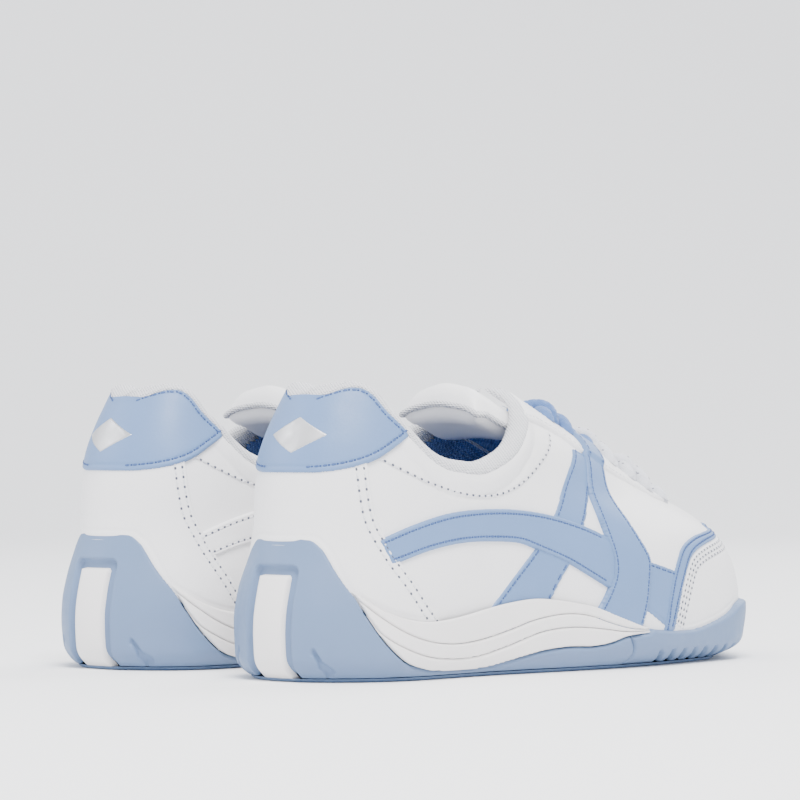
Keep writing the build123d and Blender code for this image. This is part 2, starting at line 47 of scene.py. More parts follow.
# ------------------------------------------------------------------ surface of the shoe, right one, mm
STATIONS = np.array([0.0, 0.03, 0.1, 0.25, 0.45, 0.65, 0.8, 0.9, 0.97, 1.0])
UPPER = [
    (4, 4.6, 242.0, [18.0, 28.0, 32.6, 37.0, 41.0, 36.8, 26.0, 8.0], [19.6, 29.8, 29.6, 28.2, 38.2, 41.2, 34.8, 21.6]),
    (10, 4.0, 243.0, [18.5, 29.0, 33.5, 38.0, 42.0, 37.5, 26.5, 8.0], [20.0, 30.5, 30.5, 29.0, 39.0, 42.0, 35.5, 22.0]),
    (20, 3.2, 243.8, [18.8, 29.8, 34.5, 38.8, 42.5, 37.8, 26.8, 8.2], [20.2, 31.0, 31.5, 30.5, 39.5, 42.3, 36.0, 22.5]),
    (32, 4.2, 242.2, [18.6, 29.8, 34.8, 38.5, 41.5, 36.3, 25.5, 7.5], [20.0, 31.0, 32.2, 31.5, 39.0, 41.0, 34.5, 21.0]),
    (44, 6.6, 236.0, [17.6, 28.2, 34.0, 36.7, 39.0, 33.2, 22.3, 7.0], [18.8, 29.2, 32.0, 31.8, 36.5, 36.0, 29.0, 16.5]),
    (52, 7.8, 223.5, [17.0, 27.3, 33.2, 34.8, 34.8, 28.6, 19.5, 7.5], [18.0, 28.3, 31.7, 31.5, 33.2, 31.0, 23.5, 13.0]),
    (60, 8.6, 199.5, [16.5, 26.8, 32.6, 33.2, 31.0, 25.0, 17.5, 8.5], [17.4, 27.6, 31.3, 31.0, 30.0, 26.0, 18.5, 10.0]),
    (76, 11.0, 164.0, [14.5, 24.0, 30.0, 31.0, 28.4, 23.0, 15.8, 8.4], [15.3, 24.6, 29.5, 30.2, 28.2, 23.0, 15.8, 8.4]),
    (86, 15.0, 141.6, [12.5, 20.8, 27.2, 28.8, 26.0, 20.4, 14.0, 7.4], [13.2, 21.2, 27.0, 28.4, 26.0, 20.4, 14.0, 7.4]),
    (96, 20.3, 119.0, [10.3, 17.2, 24.0, 26.6, 24.0, 18.6, 12.8, 6.8], [10.8, 17.6, 24.0, 26.4, 23.8, 18.6, 12.8, 6.8]),
    (108, 28.5, 92.0, [8.0, 13.5, 19.5, 22.0, 19.5, 15.0, 10.2, 5.4], [8.0, 13.5, 19.5, 22.0, 19.5, 15.0, 10.2, 5.4]),
]
SOLE = [
    (0, 6.9, 229.0, [17.5, 28.5, 31.5, 35.5, 37.0, 32.0, 22.0, 6.0], [18.5, 29.5, 28.5, 27.5, 36.0, 38.0, 31.0, 19.0]),
    (4, 2.2, 241.0, [19.5, 31.5, 35.0, 39.5, 42.5, 38.0, 27.0, 8.5], [20.8, 33.0, 32.0, 30.5, 41.0, 43.0, 37.0, 23.0]),
    (10, 0.2, 245.8, [20.5, 33.0, 37.0, 41.5, 45.0, 40.0, 29.0, 9.5], [21.5, 34.3, 33.3, 31.8, 43.0, 45.2, 38.7, 24.7]),
    (20, 0.0, 247.0, [21.0, 33.3, 38.0, 42.3, 45.2, 40.5, 29.5, 10.0], [21.8, 34.6, 34.8, 33.2, 43.0, 45.2, 38.8, 25.0]),
    (32, 2.2, 244.8, [20.6, 32.6, 37.5, 41.0, 43.5, 38.5, 27.5, 9.0], [21.2, 33.8, 34.8, 34.0, 42.0, 43.3, 37.0, 23.5]),
    (44, 5.4, 238.0, [19.0, 30.3, 36.0, 38.7, 40.4, 34.6, 23.6, 8.0], [19.8, 31.0, 33.6, 33.6, 38.5, 38.0, 31.0, 18.0]),
    (60, 8.0, 201.0, [17.0, 27.6, 33.6, 34.4, 32.0, 26.0, 18.5, 9.2], [18.0, 28.4, 32.4, 32.2, 31.0, 27.0, 19.5, 10.8]),
]


def spl(xs, ys, x):
    """Natural cubic through columns of ys, at the array x."""
    xs = np.asarray(xs, float)
    ys = np.asarray(ys, float)
    flat = ys.ndim == 1
    if flat:
        ys = ys[:, None]
    x = np.atleast_1d(np.asarray(x, float))
    n = len(xs)
    h = np.diff(xs)
    a = np.zeros((n, n))
    b = np.zeros_like(ys)
    a[0, 0] = a[-1, -1] = 1
    for i in range(1, n - 1):
        a[i, i - 1:i + 2] = h[i - 1], 2 * (h[i - 1] + h[i]), h[i]
        b[i] = 6 * ((ys[i + 1] - ys[i]) / h[i] - (ys[i] - ys[i - 1]) / h[i - 1])
    m = np.linalg.solve(a, b)
    k = np.clip(np.searchsorted(xs, x, side="right") - 1, 0, n - 2)
    t = (x - xs[k])[:, None]
    hk = h[k][:, None]
    out = ys[k] + t * ((ys[k + 1] - ys[k]) / hk - hk * (2 * m[k] + m[k + 1]) / 6 + t * (m[k] / 2 + t * (m[k + 1] - m[k]) / (6 * hk)))
    return out[:, 0] if flat else out


def ramp(x, a, b):
    t = np.clip((x - a) / (b - a), 0, 1)
    return t * t * (3 - 2 * t)


def shift(s, z):
    return -8.0 * np.clip((s - 0.5) / 0.5, 0, 1) ** 2 * np.clip((60 - z) / 40.0, 0, 1)


class Skin:
    """Lookup of a surface given by outline tables: angle round the shoe and height to a point and its normal."""
    NPHI = 1441
    DZ = 0.25

    def __init__(self, table):
        self.zs = np.arange(table[0][0], table[-1][0] + 1e-6, self.DZ)
        self.phi = np.linspace(-math.pi, math.pi, self.NPHI)
        rows = [r[0] for r in table]
        self.heel = spl(rows, [r[1] for r in table], self.zs)
        self.toe = spl(rows, [r[2] for r in table], self.zs)
        outer = spl(rows, [r[3] for r in table], self.zs)
        inner = spl(rows, [r[4] for r in table], self.zs)
        s = (1 - np.cos(self.phi)) / 2
        st = STATIONS[1:-1]
        self.p = np.zeros((len(self.zs), self.NPHI, 3))
        for j, z in enumerate(self.zs):
            c = shift(st, z)
            root = 2 * np.sqrt(st * (1 - st))
            go, gi = (outer[j] - c) / root, (inner[j] + c) / root
            go = np.concatenate([[go[0] * 1.02], go, [go[-1] * 1.02]])
            gi = np.concatenate([[gi[0] * 1.02], gi, [gi[-1] * 1.02]])
            # one value shared at both ends keeps the outline smooth there
            go[0] = gi[0] = (go[0] + gi[0]) / 2
            go[-1] = gi[-1] = (go[-1] + gi[-1]) / 2
            g = np.where(self.phi > 0, spl(STATIONS, go, s), spl(STATIONS, gi, s))
            self.p[j, :, 0] = shift(s, z) + np.sin(self.phi) * g
            self.p[j, :, 1] = self.heel[j] + (self.toe[j] - self.heel[j]) * s
            self.p[j, :, 2] = z
        dphi = (np.roll(self.p[:, :-1], -1, 1) - np.roll(self.p[:, :-1], 1, 1))
        dphi = np.concatenate([dphi, dphi[:, :1]], 1)
        dz = np.gradient(self.p, axis=0)
        n = np.cross(dphi, dz)
        n /= np.linalg.norm(n, axis=2, keepdims=True) + 1e-9
        self.n = n

    def at(self, phi, z, off=0.0):
        phi = (np.asarray(phi, float) + math.pi) % (2 * math.pi)
        z = np.asarray(z, float)
        a = phi / (2 * math.pi) * (self.NPHI - 1)
        b = np.clip((z - self.zs[0]) / self.DZ, 0, len(self.zs) - 1.001)
        i, j = np.minimum(a.astype(int), self.NPHI - 2), b.astype(int)
        u, v = (a - i)[..., None], (b - j)[..., None]
        def mix(q):
            return (q[j, i] * (1 - u) + q[j, i + 1] * u) * (1 - v) + (q[j + 1, i] * (1 - u) + q[j + 1, i + 1] * u) * v
        p, n = mix(self.p), mix(self.n)
        n /= np.linalg.norm(n, axis=-1, keepdims=True) + 1e-9
        over = z - np.clip(z, self.zs[0], self.zs[-1])
        p = p + np.stack([np.zeros_like(over), np.zeros_like(over), over], -1)
        return p + n * (np.asarray(off, float)[..., None] if np.ndim(off) else off), n

    def phi_of(self, y, z, side=1):
        """Angle of the point at that y on the given side, from 0 at the heel to pi at the toe."""
        y, z = np.asarray(y, float), np.asarray(z, float)
        b = np.clip((z - self.zs[0]) / self.DZ, 0, len(self.zs) - 1)
        h = np.interp(b, np.arange(len(self.zs)), self.heel)
        t = np.interp(b, np.arange(len(self.zs)), self.toe)
        return side * np.arccos(np.clip(1 - 2 * (y - h) / (t - h), -1, 1))


UP = Skin(UPPER)
SO = Skin(SOLE)


def dense(points, step=1.0, smooth=True):
    """A line through the points, sampled about every step; smooth gives a Catmull-Rom curve."""
    p = np.asarray(points, float)
    if len(p) == 2 or not smooth:
        out = []
        for a, b in zip(p[:-1], p[1:]):
            n = max(int(np.linalg.norm(b - a) / step), 1)
            out.append(a + (b - a) * np.linspace(0, 1, n, endpoint=False)[:, None])
        return np.concatenate(out + [p[-1:]])
    q = np.concatenate([2 * p[:1] - p[1:2], p, 2 * p[-1:] - p[-2:-1]])
    out = []
    for k in range(1, len(q) - 2):
        n = max(int(np.linalg.norm(q[k + 1] - q[k]) / step), 1)
        t = np.linspace(0, 1, n, endpoint=False)[:, None]
        # centripetal spacing keeps uneven points from looping
        d = [max(np.linalg.norm(q[i + 1] - q[i]) ** 0.5, 1e-4) for i in (k - 1, k, k + 1)]
        m1 = (q[k + 1] - q[k]) + d[1] * ((q[k] - q[k - 1]) / d[0] - (q[k + 1] - q[k - 1]) / (d[0] + d[1]))
        m2 = (q[k + 1] - q[k]) + d[1] * ((q[k + 2] - q[k + 1]) / d[2] - (q[k + 2] - q[k]) / (d[1] + d[2]))
        out.append((2 * t ** 3 - 3 * t ** 2 + 1) * q[k] + (t ** 3 - 2 * t ** 2 + t) * m1 + (-2 * t ** 3 + 3 * t ** 2) * q[k + 1] + (t ** 3 - t ** 2) * m2)
    return np.concatenate(out + [p[-1:]])


def yz(skin, points, side=1, step=1.0, smooth=True):
    """Side-view line to (angle, height) samples."""
    d = dense(points, step, smooth)
    return np.column_stack([skin.phi_of(d[:, 0], d[:, 1], side), d[:, 1]])


def join(*runs):
    return np.concatenate(runs)


# ------------------------------------------------------------------ meshes
OBJECTS = []
SHOES = (("right", RIGHT_AT, 1.0), ("left", LEFT_AT, -1.0))
MATS = {}


def mesh_object(name, verts, faces, mat, smooth=True, shoes=SHOES, body="shoe", replaces=(), slot=None, seam=None):
    """One object for each shoe, from right-shoe millimetres. The left one is mirrored."""
    made = []
    verts = np.asarray(verts, float)
    for shoe, at, sx in shoes:
        v = (verts * [sx, 1, 1] + at) * 0.001
        me = bpy.data.meshes.new(shoe + "_" + name)
        f = faces
        if isinstance(f, np.ndarray):
            if sx < 0:
                f = f[:, ::-1]
            me.vertices.add(len(v))
            me.vertices.foreach_set("co", v.ravel())
            k = f.shape[1]
            me.loops.add(f.size)
            me.loops.foreach_set("vertex_index", f.ravel().astype(np.int32))
            me.polygons.add(len(f))
            me.polygons.foreach_set("loop_start", np.arange(0, f.size, k, dtype=np.int32))
            me.update(calc_edges=True)
            me.validate()
        else:
            f = [tuple(reversed(t)) if sx < 0 else tuple(t) for t in f]
            me.from_pydata([tuple(c) for c in v], [], f)
        if smooth:
            me.polygons.foreach_set("use_smooth", np.ones(len(me.polygons), dtype=bool))
        ob = bpy.data.objects.new(shoe + "_" + name, me)
        bpy.context.scene.collection.objects.link(ob)
        me.materials.append(MATS[mat])
        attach(ob, shoe + "_" + body)
        if replaces:
            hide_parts(*[shoe + "_" + r for r in replaces])
        made.append(ob)
    return made


def inside(points, poly):
    x, y = points[:, 0], points[:, 1]
    px, py = poly[:, 0], poly[:, 1]
    qx, qy = np.roll(px, -1), np.roll(py, -1)
    hit = np.zeros(len(points), dtype=bool)
    for a, b, c, d in zip(px, py, qx, qy):
        if b == d:
            continue
        cond = (b > y) != (d > y)
        hit ^= cond & (x < (c - a) * (y - b) / (d - b) + a)
    return hit


def resample(loop, skin, step):
    """Even 3-D spacing round a closed (angle, height) loop."""
    loop = np.concatenate([loop, loop[:1]])
    p, _ = skin.at(loop[:, 0], loop[:, 1])
    d = np.concatenate([[0], np.cumsum(np.linalg.norm(np.diff(p, axis=0), axis=1))])
    keep = np.concatenate([[True], np.diff(d) > 1e-6])
    loop, d = loop[keep], d[keep]
    n = max(int(d[-1] / step), 12)
    t = np.linspace(0, d[-1], n, endpoint=False)
    return np.column_stack([np.interp(t, d, loop[:, 0]), np.interp(t, d, loop[:, 1])])


def panel(name, loop, mat, skin=UP, base=0.0, thick=1.0, edge=0.8, rim=-0.25, res=1.5, ku=80.0, kv=1.3, seams=(), relief=None, open_edge=None, **kw):
    """A panel over the skin: its outline rounded over at the edges, with a groove along each stitch line."""
    step = res * FINE
    b = resample(np.asarray(loop, float), skin, step)
    scale = np.array([ku, kv])
    poly = b * scale
    lo, hi = poly.min(0), poly.max(0)
    gx = np.arange(lo[0], hi[0], step)
    gy = np.arange(lo[1], hi[1], step * 0.866)
    g = np.array([(x + (0.5 * step if j % 2 else 0), y) for j, y in enumerate(gy) for x in gx])
    g = g[inside(g, poly)]
    if len(g):
        tree = kdtree.KDTree(len(poly))
        for i, q in enumerate(poly):
            tree.insert((q[0], q[1], 0), i)
        tree.balance()
        near = np.array([tree.find((q[0], q[1], 0))[2] for q in g])
        g = g[near > 0.5 * step]
    pts = np.concatenate([poly, g]) if len(g) else poly
    out = delaunay_2d_cdt([Vector(q) for q in pts], [], [list(range(len(poly)))], 1, 1e-5)
    v2 = np.array([tuple(q) for q in out[0]]) / scale
    faces = np.array([f for f in out[2] if len(f) == 3], dtype=np.int64)
    # distance from each point to the panel's edge, in space
    bp, _ = skin.at(b[:, 0], b[:, 1])
    if open_edge is not None:
        bp = bp[~open_edge(b)]
    mid = (bp + np.roll(bp, -1, 0)) / 2
    ok = np.linalg.norm(bp - np.roll(bp, -1, 0), axis=1) < 3 * step
    bp = np.concatenate([bp, mid[ok]])
    tree = kdtree.KDTree(len(bp))
    for i, q in enumerate(bp):
        tree.insert(q, i)
    tree.balance()
    p, n = skin.at(v2[:, 0], v2[:, 1])
    d = np.array([tree.find(q)[2] for q in p])
    t = np.clip(d / edge, 0, 1)
    h = base + rim + (thick - rim) * np.sqrt(np.clip(1 - (1 - t) ** 2, 0, 1))
    for s in seams:
        h -= 0.22 * np.exp(-((d - s) / 0.5) ** 2)
    h += 0.05 * np.sin(p[:, 1] * 0.31 + 3 * np.sin(p[:, 2] * 0.13)) * np.cos(p[:, 2] * 0.37 + p[:, 0] * 0.2)
    if relief is not None:
        h = h + relief(p, v2, d)
    p = p + n * h[:, None]
    # faces point outward
    a, c, e = p[faces[:, 0]], p[faces[:, 1]], p[faces[:, 2]]
    fn = np.cross(c - a, e - a)
    if np.sum(np.einsum("ij,ij->i", fn, n[faces[:, 0]])) < 0:
        faces = faces[:, ::-1]
    return mesh_object(name, p, faces, mat, **kw)


def offset_line(line, skin, d):
    """The (angle, height) line moved sideways over the surface by d mm."""
    line = np.asarray(line, float)
    p, n = skin.at(line[:, 0], line[:, 1])
    t = np.gradient(p, axis=0)
    t /= np.linalg.norm(t, axis=1, keepdims=True) + 1e-9
    side = np.cross(n, t)
    e = 1e-3
    pa, _ = skin.at(line[:, 0] + e, line[:, 1])
    pz, _ = skin.at(line[:, 0], line[:, 1] + 0.05)
    ja, jz = (pa - p) / e, (pz - p) / 0.05
    out = line.copy()
    for k in range(len(line)):
        m = np.column_stack([ja[k], jz[k]])
        sol, *_ = np.linalg.lstsq(m, side[k] * d, rcond=None)
        out[k] += sol
    return out


def along(line, skin, pitch, off):
    p, n = skin.at(line[:, 0], line[:, 1], off)
    d = np.concatenate([[0], np.cumsum(np.linalg.norm(np.diff(p, axis=0), axis=1))])
    count = max(int(d[-1] / pitch), 2)
    t = np.linspace(0, d[-1], count)
    at = np.column_stack([np.interp(t, d, p[:, k]) for k in range(3)])
    nn = np.column_stack([np.interp(t, d, n[:, k]) for k in range(3)])
    nn /= np.linalg.norm(nn, axis=1, keepdims=True)
    tt = np.gradient(at, axis=0)
    tt /= np.linalg.norm(tt, axis=1, keepdims=True) + 1e-9
    return at, tt, nn


def blobs(at, tt, nn, length, width, height, rings=4, round_=8):
    """Small rounded lozenges lying along tt, standing up along nn."""
    side = np.cross(nn, tt)
    verts, faces = [], []
    template = []
    for i in range(rings + 1):
        a = math.pi * i / rings
        for k in range(round_):
            b = 2 * math.pi * k / round_
            r = math.sin(a) ** 0.6 if 0 < i < rings else 0.05
            template.append((-math.cos(a) * length / 2, math.cos(b) * r * width / 2, math.sin(b) * r * height / 2))
    template = np.array(template)
    tf = []
    for i in range(rings):
        for k in range(round_):
            a, b = i * round_ + k, i * round_ + (k + 1) % round_
            tf.append((a, a + round_, b + round_, b))
    tf = np.array(tf)
    v = at[:, None] + template[None, :, :1] * tt[:, None] + template[None, :, 1:2] * side[:, None] + template[None, :, 2:] * nn[:, None]
    f = tf[None] + (np.arange(len(at)) * len(template))[:, None, None]
    return v.reshape(-1, 3), f.reshape(-1, 4)


STITCH = {}


def stitches(kind, line, skin=UP, off=1.0, pitch=2.7, length=1.7, width=0.55, hole=True, body="shoe"):
    """Adds a row of stitches to be merged into one object per kind, with dark dots of painted shade standing in for the
    needle holes between them.
    """
    at, tt, nn = along(np.asarray(line, float), skin, pitch, off)
    v, f = blobs(at + nn * 0.08, tt, nn, length, width * 1.35, 0.42)
    STITCH.setdefault((kind, body), []).append((v, f))
    if hole:
        # the lozenges between stitches are painted shade: dark dots standing in for the shaded needle holes
        mid = at + tt * pitch / 2
        k = 1.3 if isinstance(hole, str) else 1.0
        v, f = blobs(mid[:-1] + nn[:-1] * 0.06, tt[:-1], nn[:-1], 0.8 * k, 0.65 * k, 0.22)
        STITCH.setdefault((hole if isinstance(hole, str) else "needle_hole", body), []).append((v, f))


def flush_stitches(slots):
    for (kind, body), parts in STITCH.items():
        verts, faces, base = [], [], 0
        for v, f in parts:
            verts.append(v)
            faces.append(f + base)
            base += len(v)
        mesh_object("stitching_" + kind, np.concatenate(verts), np.concatenate(faces), kind, body=body, slot=slots.get(kind, "white_leather"))


def tube(points, radius, mat_points=14, closed=False, flat=1.0, up=None, relief=None):
    """A round or flattened tube along the points, with parallel frames."""
    p = np.asarray(points, float)
    t = np.gradient(p, axis=0)
    t /= np.linalg.norm(t, axis=1, keepdims=True) + 1e-9
    side = np.zeros_like(p)
    ref = np.array([0, 0, 1.0]) if up is None else up
    if np.ndim(ref) == 1:
        prev = np.cross(t[0], ref)
        if np.linalg.norm(prev) < 1e-3:
            prev = np.cross(t[0], [1.0, 0, 0])
        for k in range(len(p)):
            prev = prev - t[k] * prev.dot(t[k])
            prev /= np.linalg.norm(prev)
            side[k] = prev
    else:
        side = np.cross(t, ref)
        side /= np.linalg.norm(side, axis=1, keepdims=True) + 1e-9
    nn = np.cross(side, t)
    a = np.linspace(0, 2 * math.pi, mat_points, endpoint=False)
    r = np.ones((len(p), mat_points)) * radius
    if relief is not None:
        d = np.concatenate([[0], np.cumsum(np.linalg.norm(np.diff(p, axis=0), axis=1))])
        r = r + relief(d[:, None], a[None, :])
    v = p[:, None] + side[:, None] * (np.cos(a)[None, :, None] * r[..., None]) + nn[:, None] * (np.sin(a)[None, :, None] * r[..., None] * flat)
    idx = np.arange(len(p) * mat_points).reshape(len(p), mat_points)
    q = np.stack([idx[:-1], np.roll(idx, -1, 1)[:-1], np.roll(idx, -1, 1)[1:], idx[1:]], -1).reshape(-1, 4)
    return v.reshape(-1, 3), q


def grid_faces(rows, cols, wrap=False):
    idx = np.arange(rows * cols).reshape(rows, cols)
    if wrap:
        n = np.roll(idx, -1, 1)
        return np.stack([idx[:-1], n[:-1], n[1:], idx[1:]], -1).reshape(-1, 4)
    return np.stack([idx[:-1, :-1], idx[:-1, 1:], idx[1:, 1:], idx[1:, :-1]], -1).reshape(-1, 4)


# ------------------------------------------------------------------ materials
def lin(r, g, b):
    def f(c):
        c /= 255.0
        return c / 12.92 if c <= 0.04045 else ((c + 0.055) / 1.055) ** 2.4
    return (f(r), f(g), f(b), 1.0)


def material(name, color, rough, kind, dark=None, scale=1.0, bump=0.2, dist=0.0002, coat=0.0, metal=0.0, sheen=0.0, vary=0.05, sss=0.0):
    m = bpy.data.materials.new(name)
    m.use_nodes = True
    nt = m.node_tree
    nt.nodes.clear()
    out = nt.nodes.new("ShaderNodeOutputMaterial")
    bs = nt.nodes.new("ShaderNodeBsdfPrincipled")
    nt.links.new(bs.outputs[0], out.inputs[0])
    bs.inputs["Metallic"].default_value = metal
    bs.inputs["Coat Weight"].default_value = coat
    bs.inputs["Coat Roughness"].default_value = 0.35
    bs.inputs["Sheen Weight"].default_value = sheen
    bs.inputs["Subsurface Weight"].default_value = sss
    bs.inputs["Subsurface Radius"].default_value = (0.004, 0.003, 0.003)
    tc = nt.nodes.new("ShaderNodeTexCoord")

    def noise(sc, detail=3.0, rough_=0.55):
        n = nt.nodes.new("ShaderNodeTexNoise")
        n.inputs["Scale"].default_value = sc
        n.inputs["Detail"].default_value = detail
        n.inputs["Roughness"].default_value = rough_
        nt.links.new(tc.outputs["Object"], n.inputs["Vector"])
        return n

    def voronoi(sc, feature="F1"):
        n = nt.nodes.new("ShaderNodeTexVoronoi")
        n.feature = feature
        n.inputs["Scale"].default_value = sc
        nt.links.new(tc.outputs["Object"], n.inputs["Vector"])
        return n

    def wave(sc, axis, dist_=0.0, rot=(0, 0, 0)):
        mp = nt.nodes.new("ShaderNodeMapping")
        mp.inputs["Rotation"].default_value = rot
        nt.links.new(tc.outputs["Object"], mp.inputs["Vector"])
        n = nt.nodes.new("ShaderNodeTexWave")
        n.wave_type = "BANDS"
        n.bands_direction = axis
        n.inputs["Scale"].default_value = sc
        n.inputs["Distortion"].default_value = dist_
        nt.links.new(mp.outputs[0], n.inputs["Vector"])
        return n

    def math_(op, a, b):
        n = nt.nodes.new("ShaderNodeMath")
        n.operation = op
        for k, q in enumerate((a, b)):
            if isinstance(q, (int, float)):
                n.inputs[k].default_value = q
            else:
                nt.links.new(q, n.inputs[k])
        return n.outputs[0]

    def spread(src, lo, hi, a=0.0, b=1.0):
        n = nt.nodes.new("ShaderNodeMapRange")
        n.inputs["From Min"].default_value = a
        n.inputs["From Max"].default_value = b
        n.inputs["To Min"].default_value = lo
        n.inputs["To Max"].default_value = hi
        nt.links.new(src, n.inputs["Value"])
        return n.outputs[0]

    def mixc(fac, a, b):
        n = nt.nodes.new("ShaderNodeMix")
        n.data_type = "RGBA"
        if isinstance(fac, (int, float)):
            n.inputs[0].default_value = fac
        else:
            nt.links.new(fac, n.inputs[0])
        for k, q in ((6, a), (7, b)):
            if isinstance(q, tuple):
                n.inputs[k].default_value = q
            else:
                nt.links.new(q, n.inputs[k])
        return n.outputs[2]

    shade = tuple(c * (1 - vary) for c in color[:3]) + (1.0,)
    big = noise(28, 3)
    body_col = mixc(spread(big.outputs[0], 0, 1, 0.3, 0.7), color, shade)
    if kind == "leather":
        v = voronoi(760 * scale)
        n = noise(1500 * scale, 4)
        wrinkle = noise(95 * scale, 4)
        h = math_("ADD", spread(v.outputs["Distance"], 0.0, 0.9), math_("MULTIPLY", n.outputs[0], 0.45))
        h = math_("ADD", h, math_("MULTIPLY", wrinkle.outputs[0], 1.1))
        body_col = mixc(spread(v.outputs["Distance"], 0.0, 0.10), body_col, shade)
        rr = spread(n.outputs[0], rough - 0.06, rough + 0.08, 0.35, 0.65)
    elif kind == "rubber":
        n = noise(2600 * scale, 3)
        n2 = noise(300 * scale, 3)
        h = math_("ADD", n.outputs[0], math_("MULTIPLY", n2.outputs[0], 0.8))
        rr = spread(n2.outputs[0], rough - 0.05, rough + 0.08, 0.3, 0.7)
    elif kind == "mesh":
        a = wave(300 * scale, "X", 0.4, (0.5, 0.3, 0.785))
        b = wave(300 * scale, "Y", 0.4, (0.5, 0.3, 0.785))
        c = wave(300 * scale, "Z", 0.4, (0.5, 0.3, 0.785))
        h = math_("MULTIPLY", math_("MULTIPLY", math_("ADD", a.outputs[1], 0.3), math_("ADD", b.outputs[1], 0.3)), math_("ADD", c.outputs[1], 0.3))
        body_col = mixc(spread(h, 0, 1, 0.02, 0.9), dark, body_col)
        rr = spread(h, 0.9, 0.7)
    elif kind == "knit":
        a = wave(420 * scale, "DIAGONAL", 1.5)
        b = wave(520 * scale, "Z", 1.0, (0.4, 0.0, 0.6))
        h = math_("ADD", a.outputs[1], b.outputs[1])
        body_col = mixc(spread(h, 0, 1, 0.1, 1.5), dark, body_col)
        rr = spread(h, 0.92, 0.75, 0, 2)
    elif kind == "yarn":
        a = wave(900 * scale, "DIAGONAL", 2.0)
        n = noise(1800, 2)
        h = math_("ADD", a.outputs[1], math_("MULTIPLY", n.outputs[0], 0.6))
        body_col = mixc(spread(h, 0, 1, 0.1, 1.4), dark, body_col)
        rr = spread(h, 0.9, 0.7, 0, 2)
    else:  # foil
        n = noise(900 * scale, 4)
        n2 = noise(140 * scale, 3)
        h = math_("ADD", n.outputs[0], n2.outputs[0])
        rr = spread(n2.outputs[0], rough - 0.12, rough + 0.2, 0.3, 0.7)
    nt.links.new(body_col, bs.inputs["Base Color"])
    nt.links.new(rr, bs.inputs["Roughness"])
    bp = nt.nodes.new("ShaderNodeBump")
    bp.inputs["Strength"].default_value = bump
    bp.inputs["Distance"].default_value = dist
    nt.links.new(h, bp.inputs["Height"])
    nt.links.new(bp.outputs[0], bs.inputs["Normal"])
    MATS[name] = m
    return m


WHITE = lin(238, 237, 238)
BLUE = lin(102, 132, 176)
material("leather_white", WHITE, 0.42, "leather", bump=0.22, dist=0.00018, vary=0.03)
material("leather_white_soft", lin(241, 240, 241), 0.38, "leather", scale=0.8, bump=0.25, dist=0.0002, vary=0.03)
material("leather_blue", BLUE, 0.46, "leather", scale=1.25, bump=0.2, dist=0.00014, vary=0.06)
material("rubber_blue", lin(103, 126, 160), 0.5, "rubber", bump=0.16, dist=0.0001, vary=0.05)
material("foam_white", lin(236, 233, 232), 0.5, "rubber", bump=0.12, dist=0.0001, vary=0.03)
material("mesh_blue", lin(160, 186, 228), 0.85, "mesh", dark=lin(92, 120, 176), bump=0.9, dist=0.0005, vary=0.06)
material("knit_white", lin(240, 240, 242), 0.85, "knit", dark=lin(186, 188, 196), bump=0.8, dist=0.00035, sheen=0.2, vary=0.03)
material("lace_blue", lin(104, 140, 196), 0.8, "yarn", dark=lin(58, 90, 146), bump=0.6, dist=0.0002, sheen=0.2, vary=0.08)
material("lace_white", lin(240, 240, 243), 0.8, "yarn", dark=lin(190, 194, 206), bump=0.6, dist=0.0002, sheen=0.2, vary=0.04)
material("thread_white", lin(242, 242, 244), 0.7, "yarn", dark=lin(205, 207, 214), bump=0.3, dist=0.0001, vary=0.02)
material("thread_blue", lin(48, 74, 126), 0.7, "yarn", dark=lin(84, 110, 158), bump=0.3, dist=0.0001, vary=0.04)
# the two needle-hole colours are painted shade for the holes between stitches, blue on blue leather and grey on white
material("needle_hole", lin(52, 74, 124), 0.9, "rubber", bump=0.1, vary=0.1)
material("needle_hole_dark", lin(84, 88, 104), 0.9, "rubber", bump=0.1, vary=0.1)
# darker blue of painted shade for a groove; no object uses it
material("groove_shade_blue", lin(92, 118, 164), 0.8, "rubber", bump=0.1, vary=0.1)
material("foil_silver", lin(206, 206, 208), 0.36, "foil", metal=0.85, bump=0.25, dist=0.0002, vary=0.08)
# one navy colour for two things: the real flecks on the lace, and painted shade in the punched eyelet holes
material("navy_fleck_and_hole_shade", lin(52, 62, 92), 0.9, "rubber", bump=0.1, vary=0.1)

# ------------------------------------------------------------------ side-view lines, mm
TOPLINE = [(20.1, 95.6), (22.5, 97.4), (26.6, 99.2), (30.4, 99.0), (33.2, 96.0), (35.6, 90.5),
           (40.6, 84.6), (48.9, 76.7), (55.9, 73.3), (63.6, 72.1), (72.0, 71.7), (80.9, 74.0), (89.8, 77.9),
           (97.8, 83.7), (104.6, 89.6), (109.0, 94.6), (112.0, 98.6)]
HEEL_PANEL = [(24.7, 76.0), (24.7, 72.0), (24.9, 64.0), (26.4, 55.5), (29.4, 48.5), (33.0, 41.2), (40.2, 30.8), (44.1, 25.8),
              (49.2, 20.4), (54.0, 14.0)]
TAB_LOW = [(10.15, 69.4), (11.5, 69.5), (15.9, 70.3), (22.2, 72.1), (27.7, 74.4), (34.5, 78.3), (40.2, 81.6)]
VAMP_REAR = [(144.5, 80.0), (140.5, 74.0), (137.5, 64.0), (137.0, 52.0), (139.5, 40.0), (139.0, 28.0), (134.0, 9.0)]
CURVE_TOP = [(26.6, 47.4), (39.9, 52.4), (54.2, 55.9), (70.1, 57.2), (86.8, 57.0), (103.3, 55.1), (119.3, 51.2), (134.0, 45.6)]
CURVE_LOW = [(30.0, 38.8), (46.1, 43.5), (61.4, 45.8), (77.0, 46.0), (89.2, 45.1), (95.9, 43.1), (111.1, 37.7), (119.6, 33.5), (132.0, 27.2)]
